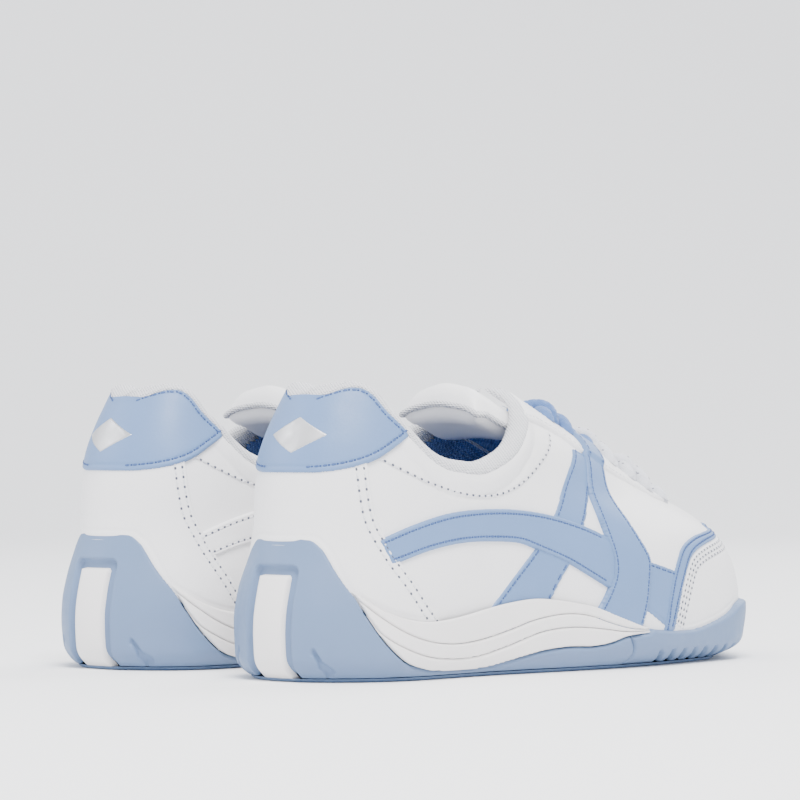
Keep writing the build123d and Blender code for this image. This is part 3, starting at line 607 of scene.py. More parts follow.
WIDE_REAR = [(142.2, 80.6), (136.6, 74.0), (131.6, 64.4), (130.2, 55.9), (130.7, 47.0), (131.9, 39.3), (131.4, 34.0),
             (127.4, 26.5), (122.5, 20.0), (118.0, 14.0)]
WIDE_FRONT = [(154.6, 75.6), (148.6, 70.5), (144.8, 64.5), (144.1, 58.5), (145.2, 52.5), (148.0, 45.4), (151.4, 38.4),
              (150.2, 30.0), (148.3, 21.9), (144.6, 12.0)]
DIAG_REAR = [(131.0, 77.5), (117.2, 65.5), (107.3, 54.3), (95.9, 43.1), (84.7, 33.5), (70.0, 20.0)]
DIAG_FRONT = [(143.0, 74.0), (128.3, 58.6), (121.7, 50.5), (112.0, 37.3), (107.2, 31.9), (97.0, 18.0)]
TOE_BAND_REAR = [(155.5, 9.0), (158.2, 14.2), (160.5, 23.1), (166.6, 34.3), (173.5, 41.4), (184.6, 45.2), (205.0, 47.6), (228.0, 48.8), (240.0, 49.0)]
TOE_BAND_FRONT = [(161.6, 9.0), (163.6, 13.4), (166.8, 21.5), (173.7, 31.9), (179.8, 38.1), (191.2, 42.0), (211.0, 44.8), (232.0, 46.0), (244.0, 46.2)]
SOLE_TOP = [(6.0, 49.3), (6.6, 49.2), (9.2, 48.4), (11.0, 44.6), (12.3, 37.0), (14.6, 30.8), (23.8, 24.6), (33.3, 21.1), (42.6, 19.9),
            (50.7, 20.2), (60.8, 21.5), (70.8, 23.4), (80.4, 25.0), (92.8, 26.2), (100.3, 25.9), (112.2, 24.3),
            (121.6, 22.5), (131.9, 19.2), (141.2, 16.2), (150.0, 13.8), (161.0, 12.8), (175.4, 12.7), (190.0, 14.8),
            (200.7, 17.6), (210.0, 21.2), (225.0, 22.4), (246.9, 22.6)]
WAVE_TOP = [(14.4, 31.2), (23.8, 24.6), (33.3, 21.1), (42.6, 19.9), (50.7, 20.2), (60.8, 21.5), (70.8, 23.4), (80.4, 25.0),
            (92.8, 26.2), (100.3, 25.9), (112.2, 24.3), (121.6, 22.5), (131.9, 19.2), (141.2, 16.2), (148.5, 14.0)]
WAVE_1 = [(16.4, 27.5), (22.1, 22.5), (30.8, 17.1), (41.2, 13.4), (53.3, 11.8), (65.8, 12.3), (80.8, 15.3), (92.5, 18.5),
          (104.4, 20.2), (112.1, 20.2), (119.8, 19.0), (127.5, 16.7), (138.4, 14.2), (148.5, 13.4)]
WAVE_2 = [(18.6, 22.0), (22.6, 16.6), (30.9, 11.6), (42.0, 7.9), (54.3, 6.5), (66.7, 6.9), (81.6, 10.2), (96.5, 14.4), (108.4, 15.5),
          (119.6, 15.0), (127.3, 14.1), (135.0, 13.2), (148.5, 12.9)]
WAVE_LOW = [(17.9, 22.9), (22.3, 16.0), (27.6, 10.2), (33.7, 5.8), (42.0, 3.4), (54.3, 2.5), (69.8, 2.7), (76.6, 3.6), (87.1, 5.8), (98.0, 7.9),
            (109.0, 8.8), (120.1, 8.6), (127.9, 9.4), (135.8, 11.4), (148.5, 12.5)]
CUP_FRONT = [(11.0, 44.6), (12.3, 37.0), (13.6, 32.8), (15.5, 28.7), (17.9, 22.9)]
CUP_TOP = [(5.9, 49.3), (6.6, 49.2), (9.2, 48.4), (11.0, 44.6)]
EYELET_X = 9.6
EYELET_Y = (133.0, 144.0, 155.5, 167.0, 178.0, 188.0, 197.0)


def toe_domain(line):
    out = np.array(line, float)
    out[:, 0] = np.where(out[:, 0] < 0, out[:, 0] + 2 * math.pi, out[:, 0])
    return out


def to_ridge(line_lateral):
    """Lateral line up to where it meets the ridge, then its mirror image down the other side, in the toe domain."""
    keep = line_lateral[:, 0] < math.pi - 0.012
    end = np.argmin(keep) if not keep.all() else len(keep)
    a = line_lateral[:end]
    top = np.array([[math.pi, a[-1, 1] + 0.05]])
    b = a[::-1].copy()
    b[:, 0] = 2 * math.pi - b[:, 0]
    return join(a, top, b)


_zs = UP.zs > 50
_sub = UP.p[_zs][:, ::4]
_nz = UP.n[_zs][:, ::4, 2]
_jj, _ii = np.nonzero(_nz > 0.12)
_tree = kdtree.KDTree(len(_jj))
for _k in range(len(_jj)):
    _q = _sub[_jj[_k], _ii[_k]]
    _tree.insert((_q[0], _q[1], 0), _k)
_tree.balance()
_zl = UP.zs[_zs]
_pl = UP.phi[::4]


def plan(points, step=1.0, smooth=True):
    """Plan-view (x, y) points on the instep to (angle, height), angles running 0 to 2 pi."""
    d = dense(points, step, smooth)
    out = []
    for x, y in d:
        _, k, _ = _tree.find((x, y, 0))
        a, z = _pl[_ii[k]], _zl[_jj[k]]
        for _ in range(3):
            p, _n = UP.at(np.array([a]), np.array([z]))
            pa, _n = UP.at(np.array([a + 1e-3]), np.array([z]))
            pz, _n = UP.at(np.array([a]), np.array([z + 0.05]))
            m = np.column_stack([(pa - p)[0, :2] / 1e-3, (pz - p)[0, :2] / 0.05])
            if abs(np.linalg.det(m)) < 1e-3:
                break
            da, dz = np.linalg.solve(m, np.array([x, y]) - p[0, :2])
            a += float(np.clip(da, -0.05, 0.05))
            z += float(np.clip(dz, -1, 1))
        out.append((a if a > 0 else a + 2 * math.pi, z))
    return np.array(out)


def flip(line):
    """The same line on the other side, toe domain."""
    out = np.array(line, float)[::-1].copy()
    out[:, 0] = 2 * math.pi - out[:, 0]
    return out


def flip0(line):
    """The same line on the other side, heel domain."""
    out = np.array(line, float)[::-1].copy()
    out[:, 0] = -out[:, 0]
    return out


def part_of(points, lo, hi, dz=0.0):
    d = dense(points, 1.0)
    d = d[(d[:, 0] >= lo) & (d[:, 0] <= hi)].copy()
    d[:, 1] += dz
    return d


def yz_raw(skin, d, side=1):
    return np.column_stack([skin.phi_of(d[:, 0], d[:, 1], side), d[:, 1]])


# ------------------------------------------------------------------ upper
THROAT = [(8.6, 112.0), (8.2, 128.0), (7.2, 160.0), (6.4, 188.0), (4.2, 200.0), (0.0, 204.0)]
STAY = [(22.6, 107.0), (20.6, 116.0), (20.0, 127.0), (21.2, 140.0), (20.6, 151.0), (18.7, 163.0), (16.6, 177.0), (14.2, 190.0), (8.2, 202.0), (0.0, 206.8)]

low_edge = part_of(SOLE_TOP, 8.0, 60.0, -3.2)
low_edge = low_edge[low_edge[:, 0] > 9.5]
hp_front = yz(UP, HEEL_PANEL)
hp_low = yz_raw(UP, part_of(SOLE_TOP, 9.4, 50.0, -3.0))
loop = join(hp_front, hp_low[::-1], flip0(hp_low[::-1]), flip0(hp_front))
panel("heel_panel", loop, "leather_white", base=0.0, thick=1.15, edge=0.8, replaces=("heel_panel",), slot="white_leather", seams=(1.6, 4.2))

q_rear = yz(UP, [(y - 5.0, z) for y, z in HEEL_PANEL if z < 74])
q_top = yz(UP, [(30.0, 79.0)] + TOPLINE[6:])
q_front = join(plan([(8.6, 113.0), (8.0, 135.0), (7.8, 146.0)]), yz(UP, [(y + 5.0, z) for y, z in VAMP_REAR if z < 76]))
q_low = yz_raw(UP, part_of(SOLE_TOP, 48.0, 139.0, -3.2))


def collar_swell(p, v2, d):
    return 0.9 * ramp(p[:, 2], 58, 70) * (1 - ramp(p[:, 1], 96, 112)) * np.exp(-((d - 6.0) / 6.0) ** 2)


def collar_seam(p, v2, d):
    """Padded collar: swells below the topline and pulls in along its stitch line."""
    top = np.interp(p[:, 1], TL[:, 0], TL[:, 1])
    k = top - p[:, 2]
    zone = ramp(p[:, 1], 34, 42) * (1 - ramp(p[:, 1], 100, 112))
    swell = 1.3 * np.exp(-((k - 5.0) / 4.0) ** 2) - 0.45 * np.exp(-((k - 10.6) / 0.9) ** 2)
    crease = 0.10 * np.sin(p[:, 1] * 1.1 + 2.2 * np.sin(p[:, 1] * 0.23)) * np.exp(-((k - 10.6) / 3.4) ** 2)
    return zone * (swell + crease)


TL = dense(TOPLINE, 0.8)
loop = join(q_top, q_front, q_low[::-1], q_rear[::-1])
panel("quarter_lateral", loop, "leather_white", base=-0.35, thick=0.35, edge=0.6, replaces=("quarter_lateral",), slot="white_leather", relief=collar_seam)
loop = join(q_top, plan([(8.6, 113.0), (8.0, 135.0), (7.8, 146.0)]), yz(UP, [(y + 5.0, z) for y, z in VAMP_REAR if z < 76]), q_low[::-1], q_rear[::-1])
loop[:, 0] = -loop[:, 0]
panel("quarter_medial", loop, "leather_white", base=-0.35, thick=0.35, edge=0.6, replaces=("quarter_medial",), slot="white_leather", relief=collar_seam)

v_rear = yz(UP, VAMP_REAR)
v_low = yz_raw(UP, part_of(SOLE_TOP, 134.0, 243.0, -3.2))
half = join(plan(THROAT[2:] if False else [(8.0, 146.0), (7.2, 160.0), (6.4, 188.0), (4.2, 200.0), (0.0, 204.0)])[::-1], v_rear, v_low)
loop = join(half, flip(half))
panel("vamp", loop, "leather_white_soft", base=-0.1, thick=0.5, edge=0.6, kv=1.9, replaces=("vamp",), slot="white_leather",
      relief=lambda p, v2, d: 0.10 * np.sin(p[:, 0] * 0.5 + p[:, 1] * 0.12) * ramp(p[:, 2], 30, 50))

# eyestay, one U round the throat
inner = plan(THROAT)
outer = plan(STAY)
rear = yz_raw(UP, part_of(TOPLINE, 104.0, 112.0, -0.4))
half = join(inner[::-1], rear[::-1], outer)
half = half[1:]
loop = join(half, flip(half)[1:])
panel("eyestay", loop, "leather_white_soft", base=0.0, thick=1.35, edge=1.1, kv=1.9, res=1.3, replaces=("eyestay",), slot="white_leather", seams=(2.0,))
for ln in (outer[4:], flip(outer)[:-4]):
    pass

# toe cap and band
band_rear = to_ridge(yz(UP, TOE_BAND_REAR))
band_front = to_ridge(yz(UP, TOE_BAND_FRONT))
t_low_a = yz_raw(UP, part_of(SOLE_TOP, 155.5, 162.0, -3.5))
t_low = yz_raw(UP, part_of(SOLE_TOP, 161.6, 243.0, -3.2))
loop = join(band_rear, flip(t_low_a), band_front[::-1], t_low_a[::-1])
panel("toe_band", loop, "leather_blue", base=0.1, thick=1.05, edge=0.7, kv=1.6, res=1.2, replaces=("toe_band",), slot="blue_leather", seams=(1.5,))
loop = join(band_front, flip(t_low), t_low[::-1])
panel("toe_cap", loop, "leather_white", base=0.1, thick=0.95, edge=0.7, kv=1.6, replaces=("toe_cap",), slot="white_leather", seams=(1.4, 3.2, 5.0))

# stripes
def wide_lift(p, v2, d):
    w = np.interp(p[:, 1], [q[1] for q in STAY], [q[0] for q in STAY])
    return 1.15 * (1 - ramp(np.abs(p[:, 0]), w - 0.6, w + 1.4))


top_run = plan([(7.6, 144.5), (7.2, 157.5)])
wide = join(yz(UP, WIDE_REAR)[::-1], top_run, yz(UP, WIDE_FRONT))
panel("stripe_wide", wide, "leather_blue", base=0.0, thick=1.75, edge=0.8, kv=1.5, res=1.2, replaces=("stripe_wide",), slot="blue_leather", seams=(1.7,), relief=wide_lift)
panel("stripe_curved", join(yz(UP, CURVE_TOP), yz(UP, CURVE_LOW)[::-1]), "leather_blue", base=0.0, thick=1.3, edge=0.8, res=1.2, replaces=("stripe_curved",), slot="blue_leather", seams=(1.7,))
panel("stripe_diagonal", join(yz(UP, DIAG_REAR), yz(UP, DIAG_FRONT)[::-1]), "leather_blue", base=0.0, thick=0.7, edge=0.7, res=1.2, replaces=("stripe_diagonal",), slot="blue_leather", seams=(1.5,))
fore = yz(UP, [(147.0, 38.8), (171.0, 33.0), (170.0, 14.0), (166.0, 10.0), (146.0, 21.0)], smooth=False)
panel("forefoot_band", fore, "leather_blue", base=0.0, thick=0.7, edge=0.7, res=1.2, replaces=("forefoot_band",), slot="blue_leather", seams=(1.5,))
top_in = flip(top_run)
wide_in = join(yz(UP, WIDE_REAR)[::-1], top_run, yz(UP, WIDE_FRONT))
wide_in[:, 0] = -wide_in[:, 0]
panel("stripe_wide_inner", wide_in, "leather_white", base=0.0, thick=1.75, edge=0.8, kv=1.5, res=1.2, replaces=("stripes_medial",), slot="white_leather", seams=(1.7,), relief=wide_lift)
for nm, a, b, th in (("stripe_curved_inner", CURVE_TOP, CURVE_LOW, 1.2), ("stripe_diagonal_inner", DIAG_REAR, DIAG_FRONT, 0.7)):
    lp = join(yz(UP, a), yz(UP, b)[::-1])
    lp[:, 0] = -lp[:, 0]
    panel(nm, lp, "leather_white", base=0.0, thick=th, edge=0.8, res=1.2, slot="white_leather", seams=(1.7,))

# heel tab
tab_low = yz(UP, TAB_LOW)
tab_top = yz_raw(UP, part_of(TOPLINE, 20.2, 40.4, -0.3))
half = join(tab_low, tab_top[::-1])
loop = join(half[2:], flip0(half)[:-2])
panel("heel_tab", loop, "leather_blue", base=0.55, thick=1.3, edge=0.9, res=1.2, replaces=("heel_tab",), slot="blue_leather", seams=(2.2,))
loz = np.array([(-0.22, 82.0), (0.06, 88.0), (0.34, 82.0), (0.06, 76.0)])
loop = np.concatenate([loz[k] + (loz[(k + 1) % 4] - loz[k]) * np.linspace(0, 1, 12, endpoint=False)[:, None] for k in range(4)])
panel("heel_mark", loop, "foil_silver", base=1.86, thick=0.14, edge=0.3, rim=-0.1, res=1.0, replaces=("heel_mark",), slot="silver_foil")

# ------------------------------------------------------------------ stitching
S = 1
stitches("thread_blue", offset_line(tab_low[1:], UP, 2.2), off=1.72)
stitches("thread_blue", flip0(offset_line(tab_low[1:], UP, 2.2)), off=1.72)
tt_line = yz_raw(UP, part_of(TOPLINE, 20.6, 40.0, -0.3))
stitches("thread_blue", offset_line(tt_line, UP, -2.3), off=1.72)
stitches("thread_blue", flip0(offset_line(tt_line, UP, -2.3)), off=1.72)
for off_d in (1.7, 4.3):
    ln = offset_line(hp_front[3:-3], UP, -off_d)
    for q in (ln, flip0(ln)):
        stitches("thread_white", q, off=0.98, pitch=3.3, length=1.6, hole="needle_hole_dark")
for a, d in ((CURVE_TOP, -1.7), (CURVE_LOW, 1.7)):
    ln = offset_line(yz(UP, a), UP, d)
    stitches("thread_blue", ln[2:-6], off=1.12)
    ln = ln.copy()
    ln[:, 0] = -ln[:, 0]
    stitches("thread_white", ln[2:-6], off=1.02, hole="needle_hole_dark")
for a, d in ((WIDE_REAR, 1.7), (WIDE_FRONT, -1.7)):
    ln = offset_line(yz(UP, a), UP, d)
    p, _ = UP.at(ln[:, 0], ln[:, 1])
    up_part = wide_lift(p, None, None) > 0.5
    for msk, o in ((~up_part, 1.58), (up_part, 2.72)):
        seg = ln[msk]
        if len(seg) > 6:
            stitches("thread_blue", seg[:-4] if o < 2 else seg, off=o)
            q = seg.copy()
            q[:, 0] = -q[:, 0]
            stitches("thread_white", q[:-4] if o < 2 else q, off=o, hole="needle_hole_dark")
for a, d in ((DIAG_REAR, 1.5), (DIAG_FRONT, -1.5)):
    ln = offset_line(yz(UP, a), UP, d)
    y = dense(a, 1.0)[:, 0]
    cover = np.interp(y, [q[0] for q in CURVE_TOP], [q[1] for q in CURVE_TOP])
    cover_low = np.interp(y, [q[0] for q in CURVE_LOW], [q[1] for q in CURVE_LOW])
    for seg in (ln[ln[:, 1] > cover + 1], ln[(ln[:, 1] < cover_low - 1) & (ln[:, 1] > np.interp(y, [q[0] for q in SOLE_TOP], [q[1] for q in SOLE_TOP]) + 0.5)]):
        if len(seg) > 4:
            stitches("thread_blue", seg, off=0.56)
ln = offset_line(band_rear, UP, -1.5)
stitches("thread_blue", ln[5:-5], off=1.02)
ln = offset_line(band_front, UP, 1.5)
stitches("thread_blue", ln[5:-5], off=1.02)
for dd in (1.4, 3.2, 5.0):
    ln = offset_line(band_front, UP, -dd)
    stitches("thread_white", ln[6:-6], off=1.0, pitch=2.4, length=1.4, hole="needle_hole_dark")
ln = offset_line(outer, UP, -2.0 if False else 2.0)
stitches("thread_white", ln, off=1.2, hole=False)
stitches("thread_white", flip(ln), off=1.2, hole=False)
ln = offset_line(inner, UP, -2.0)
stitches("thread_white", ln[6:], off=1.2, hole=False)
stitches("thread_white", flip(ln[6:]), off=1.2, hole=False)
cs = part_of(TOPLINE, 37.5, 109.0, 0.0)
cs_line = offset_line(yz_raw(UP, cs), UP, 0.0)
cs2 = dense([(29.1, 74.4), (36.0, 70.9), (46.3, 66.7), (57.8, 63.6), (66.4, 62.1), (74.7, 61.7), (83.6, 62.8), (93.0, 65.9), (103.6, 71.7), (114.7, 79.0), (119.0, 83.0)])
ln = yz_raw(UP, cs2)
stitches("thread_white", ln, off=0.3, hole="needle_hole_dark", pitch=2.9)
q = ln.copy()
q[:, 0] = -q[:, 0]
stitches("thread_white", q, off=0.3, hole="needle_hole_dark", pitch=2.9)
ln = offset_line(fore[2:20], UP, -1.5)
stitches("thread_blue", ln, off=0.56)
flush_stitches({"thread_blue": "blue_leather", "needle_hole": "blue_leather"})


# ------------------------------------------------------------------ sole
def low_line(y0, y1, z):
    ys = np.linspace(y0, y1, int(abs(y1 - y0) / 1.2) + 2)
    return np.column_stack([SO.phi_of(ys, np.full(len(ys), z), 1), np.full(len(ys), z)])


def notches(p, v2, d):
    """Slanted cuts round the lower edge of the forefoot."""
    k = (p[:, 1] + 0.5 * p[:, 2]) / 7.2
    f = np.abs(k - np.round(k)) * 7.2
    return -1.6 * (1 - ramp(f, 0.5, 1.3)) * (1 - ramp(p[:, 2], 4.6, 6.6)) * ramp(p[:, 1], 150, 156) - 1.3 * ramp(p[:, 1], 215, 240) * ramp(p[:, 2], 8, 20)


def cup_relief(p, v2, d):
    """Window at the back with rounded corners, and the short curved slit ahead of it."""
    ax, z = np.abs(p[:, 0]), p[:, 2]
    qx, qz = np.maximum(ax - 7.6, 0), np.maximum(z - 36.4, 0)
    e = np.hypot(qx, qz) - 2.6
    w = -2.2 * (1 - ramp(e, -0.5, 0.5)) * (p[:, 1] < 20)
    s = np.interp(p[:, 1], [5.3, 7.4, 11.7], [10.4, 5.8, 2.5])
    f = np.abs(z - s) * 0.6
    return w - 1.3 * (1 - ramp(f, 0.35, 0.9)) * ramp(p[:, 1], 4.6, 5.6) * (1 - ramp(p[:, 1], 11.0, 12.2))


s_top = yz_raw(SO, part_of(SOLE_TOP, 149.0, 246.4, 0.0))
s_low = low_line(137.0, 228.6, 0.8)
w_end = yz_raw(SO, part_of(WAVE_LOW, 137.0, 148.4, -0.1))
half = join(s_low[::-1], w_end, s_top)
half = half[half[:, 0] < math.pi - 0.006]
panel("outsole", join(half, flip(half)), "rubber_blue", skin=SO, base=0.0, thick=0.0, edge=1.6, rim=-3.2, kv=1.0, res=1.3, replaces=("outsole",), slot="blue_rubber", relief=notches)
c_top = yz_raw(SO, part_of(CUP_TOP, 6.0, 11.0, 0.0))
c_front = yz_raw(SO, dense(CUP_FRONT, 1.0))
c_low = yz_raw(SO, part_of(WAVE_LOW, 17.9, 138.5, -0.1))
c_low = c_low[c_low[:, 1] < 22.8]
foot = low_line(7.4, 138.5, 0.8)
half = join(foot, c_low[::-1], c_front[::-1], c_top[::-1])
half = half[half[:, 0] > 0.008]
panel("outsole_cup", join(half, flip0(half)), "rubber_blue", skin=SO, base=0.0, thick=0.0, edge=1.3, rim=-3.2, kv=1.2, res=1.0, slot="blue_rubber", relief=cup_relief)
for nm, a, b, off, reps in (("wave_upper", WAVE_TOP, WAVE_1, -0.95, ("midsole",)), ("wave_middle", WAVE_1, WAVE_2, -0.5, ()), ("wave_lower", WAVE_2, WAVE_LOW, -0.05, ())):
    lp = join(yz_raw(SO, dense(a, 1.0)), yz_raw(SO, dense(b, 1.0))[::-1])
    for tag, sg in (("", 1), ("_inner", -1)):
        q = lp.copy()
        q[:, 0] *= sg
        panel(nm + tag, q, "foam_white", skin=SO, base=off, thick=0.0, edge=0.6, rim=-1.1, kv=1.2, res=1.2, replaces=reps if sg > 0 else (), slot="white_foam")

# white strip in the window, wrapping under the heel
zz = np.concatenate([np.linspace(36.4, 3.5, 34), np.linspace(2.6, 0.6, 4)])
rows = []
for k, z in enumerate(zz):
    a = np.linspace(-1, 1, 21)
    ph = np.linspace(0, 0.7, 300)
    P, N = SO.at(ph, np.full(300, z), 0.0)
    hx = np.interp(np.abs(a) * 7.3, P[:, 0], ph) * np.sign(a)
    e = 1 - np.clip((1 - np.abs(a)) * 7.3 / 1.0, 0, 1)
    P, N = SO.at(hx, np.full(21, z), 0.0)
    top = np.clip((36.4 - z) / 1.0, 0, 1)
    depth = -0.3 - 2.0 * (1 - np.sqrt(np.clip(1 - e * e, 0, 1))) - 2.0 * (1 - math.sqrt(max(1 - (1 - top) ** 2, 0)))
    rows.append(P + N * depth[:, None])
for yy in (10.0, 13.5):
    rows.append(np.column_stack([np.linspace(-7.3, 7.3, 21), np.full(21, yy), np.full(21, 0.25)]))
rows = np.array(rows)
mesh_object("heel_strip", rows.reshape(-1, 3), grid_faces(len(rows), 21), "foam_white", replaces=("heel_strip",), slot="white_foam")

# tread underneath
na = 420
ph = np.linspace(-math.pi, math.pi, na, endpoint=False)
P0, N0 = SO.at(ph, np.full(na, 1.3), -0.9)
rows = []
for t in np.concatenate([[0.0, 0.012, 0.03, 0.06], np.linspace(0.1, 0.985, 46)]):
    cen = np.column_stack([np.zeros(na), np.clip(P0[:, 1], 40, 195), np.zeros(na)])
    q = cen + (P0 - cen) * (1 - t)
    q[:, 2] = np.interp(t, [0, 0.012, 0.03, 0.06], [1.2, 0.5, 0.15, 0.05])
    if t > 0.06:
        g = np.full(na, 9.0)
        for y in (158, 166, 174, 182, 190, 198, 206, 214, 222, 230):
            g = np.minimum(g, np.abs(q[:, 1] - y - 0.21 * q[:, 0]))
        for y in (44, 52, 60, 68):
            g = np.minimum(g, np.abs(q[:, 1] - y))
        q[:, 2] += 1.1 * (1 - ramp(g, 0.7, 1.3))
    rows.append(q)
rows = np.array(rows)
mesh_object("tread", rows.reshape(-1, 3), grid_faces(len(rows), na, True), "rubber_blue", slot="blue_rubber")

# ------------------------------------------------------------------ collar binding
SEC = np.array([(0.3, -3.0), (1.0, -2.6), (1.4, -1.5), (1.15, -0.2), (0.3, 1.0), (-1.4, 1.9), (-3.2, 2.0), (-4.9, 1.1), (-5.9, -0.8), (-6.3, -3.0), (-6.1, -6.0)])
tl = dense(TOPLINE, 0.9)
fl = yz_raw(UP, tl)
keep = fl[:, 0] > 0.02
fl, tl = fl[keep], tl[keep]
path = np.concatenate([fl[::-1], np.column_stack([-fl[:, 0], fl[:, 1]])])
ys_ = np.concatenate([tl[::-1, 0], tl[:, 0]])
tg2 = np.gradient(tl, axis=0)
tg2 /= np.linalg.norm(tg2, axis=1, keepdims=True)
tl_n = np.column_stack([tg2[:, 1], -tg2[:, 0]])
for _ in range(6):
    tl_n[1:-1] = (tl_n[:-2] + tl_n[1:-1] + tl_n[2:]) / 3
tl_n /= np.linalg.norm(tl_n, axis=1, keepdims=True)
order = np.concatenate([np.arange(len(tl))[::-1], np.arange(len(tl))])
sides = np.concatenate([np.ones(len(tl)), -np.ones(len(tl))])
rows = []
for k, sd in zip(order, sides):
    y, z = tl[k]
    n2 = tl_n[k]
    tab = float(1 - ramp(y, 38, 46))
    front = float(ramp(y, 98, 112))
    sec = SEC.copy()
    sec[:, 0] = np.where(sec[:, 0] < 0, sec[:, 0] * (1 - 0.45 * front), sec[:, 0] + 1.0 * tab)
    sec[0:3, 1] *= 1 - 0.6 * tab
    yy, zz_ = y - n2[0] * sec[:, 1], z - n2[1] * sec[:, 1]
    zc = np.clip(zz_, 10, 106)
    P, N = UP.at(UP.phi_of(yy, zc, sd), zc, 0.0)
    n = N * [1, 1, 0.35]
    n /= np.linalg.norm(n, axis=1, keepdims=True)
    P = P + n * sec[:, :1]
    P[:, 2] += zz_ - zc
    rows.append(P)
rows = np.array(rows)
for _ in range(2):
    rows[1:-1] = 0.25 * rows[:-2] + 0.5 * rows[1:-1] + 0.25 * rows[2:]
s_ = np.concatenate([[0], np.cumsum(np.linalg.norm(np.diff(rows[:, 4], axis=0), axis=1))])
rows += (rows - rows.mean(1, keepdims=True)) * (0.012 * np.sin(s_ * 1.4) + 0.01 * np.sin(s_ * 3.3))[:, None, None]
mesh_object("collar_binding", rows.reshape(-1, 3), grid_faces(len(rows), len(SEC)), "knit_white", replaces=("collar_binding",), slot="white_knit")

# ------------------------------------------------------------------ inside: lining and sockliner
na = 300
ph = np.linspace(-math.pi, math.pi, na, endpoint=False)
zr = np.linspace(14.0, 104.0, 84)
A, Z = np.meshgrid(ph, zr)
P, N = UP.at(A.ravel(), Z.ravel(), 0.0)
padd = 0.8 + np.maximum(4.4 * ramp(P[:, 2], 48, 62) * (1 - ramp(P[:, 1], 98, 120)), 1.6 * (1 - ramp(P[:, 2], 44, 54)) * (1 - ramp(P[:, 1], 58, 74)))
Q = P - N * (2.5 + padd)[:, None]
Q += N * (0.25 * np.sin(P[:, 1] * 0.35 + P[:, 2] * 0.2))[:, None]
top = np.interp(P[:, 1], tl[:, 0], tl[:, 1])
ok = (P[:, 1] > 112) | (P[:, 2] < top - 3.2)
ok &= ~((np.abs(P[:, 0]) < 8.8) & (P[:, 1] > 98) & (P[:, 1] < 203) & (P[:, 2] > 54))
f = grid_faces(len(zr), na, True)
f = f[ok[f].all(1)]
mesh_object("lining", Q, f[:, ::-1], "mesh_blue", replaces=("lining", "collar_foam", "heel_counter", "toe_puff"), slot="blue_mesh")
P0, N0 = UP.at(ph, np.full(na, 15.0), -3.4)
rows = []
for t in np.linspace(0, 0.985, 26):
    cen = np.column_stack([np.zeros(na), np.clip(P0[:, 1], 38, 195), np.full(na, 15.0)])
    q = cen + (P0 - cen) * (1 - t)
    q[:, 2] = 15.0 + 1.2 * (1 - ramp(np.full(na, t), 0.0, 0.25)) - 0.5 * ramp(np.full(na, t), 0.2, 0.9)
    rows.append(q)
rows = np.array(rows)
mesh_object("sockliner", rows.reshape(-1, 3), grid_faces(len(rows), na, True), "mesh_blue", replaces=("sockliner", "insole_board"), slot="blue_mesh")

# ------------------------------------------------------------------ tongue
from mathutils.bvhtree import BVHTree


def caster(node):
    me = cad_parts[node].data
    return BVHTree.FromPolygons([tuple((np.array(v.co) * 1000 - RIGHT_AT)) for v in me.vertices], [tuple(p.vertices) for p in me.polygons])


T_UP, T_LOW = caster("right_tongue"), caster("right_tongue_lining")


def drop(tree, x, y, up):
    h = tree.ray_cast(Vector((x, y, 200 if up else 0)), Vector((0, 0, -1 if up else 1)))
    return h[0].z if h[0] is not None else None


def half_width(y):
    return float(np.interp(y, [84, 100, 130, 160, 180, 188, 190.3], [17.4, 18.3, 17.8, 15.8, 12.8, 8.5, 1.0]))


ny, nx = 92, 31
ys_t = np.linspace(90.5, 189.8, ny)
upper, lower = np.zeros((ny, nx, 3)), np.zeros((ny, nx, 3))
cen_u = [drop(T_UP, 0.0, min(max(y, 88.0), 186.0), True) for y in ys_t]
known = [(y, h) for y, h in zip(ys_t, cen_u) if h is not None and 90.0 < y < 185.0]
fit = np.polyfit([k[0] for k in known], [k[1] for k in known], 3)
for i, y in enumerate(ys_t):
    w = half_width(y)
    hu = float(np.polyval(fit, max(y, 88.0))) + 0.4 - 1.2 * float(1 - ramp(y, 84, 92))
    full = 1 - float(ramp(y, 100, 124))
    thick = 5.2 + 9.0 * full
    s = np.linspace(-1, 1, nx)
    e = np.sqrt(np.clip(1 - np.abs(s) ** 4, 0, 1))
    sag = 2.6 * s ** 2 + 1.2 * s ** 4
    ripple = 0.25 * np.sin(s * 7 + y * 0.3) * full
    upper[i] = np.column_stack([s * w, np.full(nx, y), hu - sag - thick * 0.5 * (1 - e) + ripple])
    lower[i] = np.column_stack([s * w, np.full(nx, y), hu - sag - thick * (0.5 + 0.5 * e)])
for g in (upper, lower):
    for _ in range(4):
        g[1:-1, 1:-1, 2] = 0.5 * g[1:-1, 1:-1, 2] + 0.125 * (g[:-2, 1:-1, 2] + g[2:, 1:-1, 2] + g[1:-1, :-2, 2] + g[1:-1, 2:, 2])


def cap(u, l, n=9, bulge=4.6):
    """Rounded end joining the two faces."""
    out = []
    for k in range(n):
        a = math.pi * k / (n - 1)
        m = 0.5 * (u + l) + 0.5 * (u - l) * math.cos(a)
        m = m + np.array([0, -bulge * math.sin(a), 0])
        out.append(m)
    return np.array(out)


end = cap(upper[0], lower[0])
nb = 24
face = np.concatenate([upper[::-1][:, ::-1], end[1:-1][:, ::-1], lower[:nb][:, ::-1]])
mesh_t = mesh_object("tongue", face.reshape(-1, 3), grid_faces(len(face), nx), "leather_white_soft", body="tongue", replaces=("tongue",), slot="white_leather")
back = lower[nb - 1:, ::-1] - [0, 0, 0.05]
mesh_b = mesh_object("tongue_back", back.reshape(-1, 3), grid_faces(len(back), nx), "mesh_blue", body="tongue", replaces=("tongue_lining",), slot="blue_mesh")
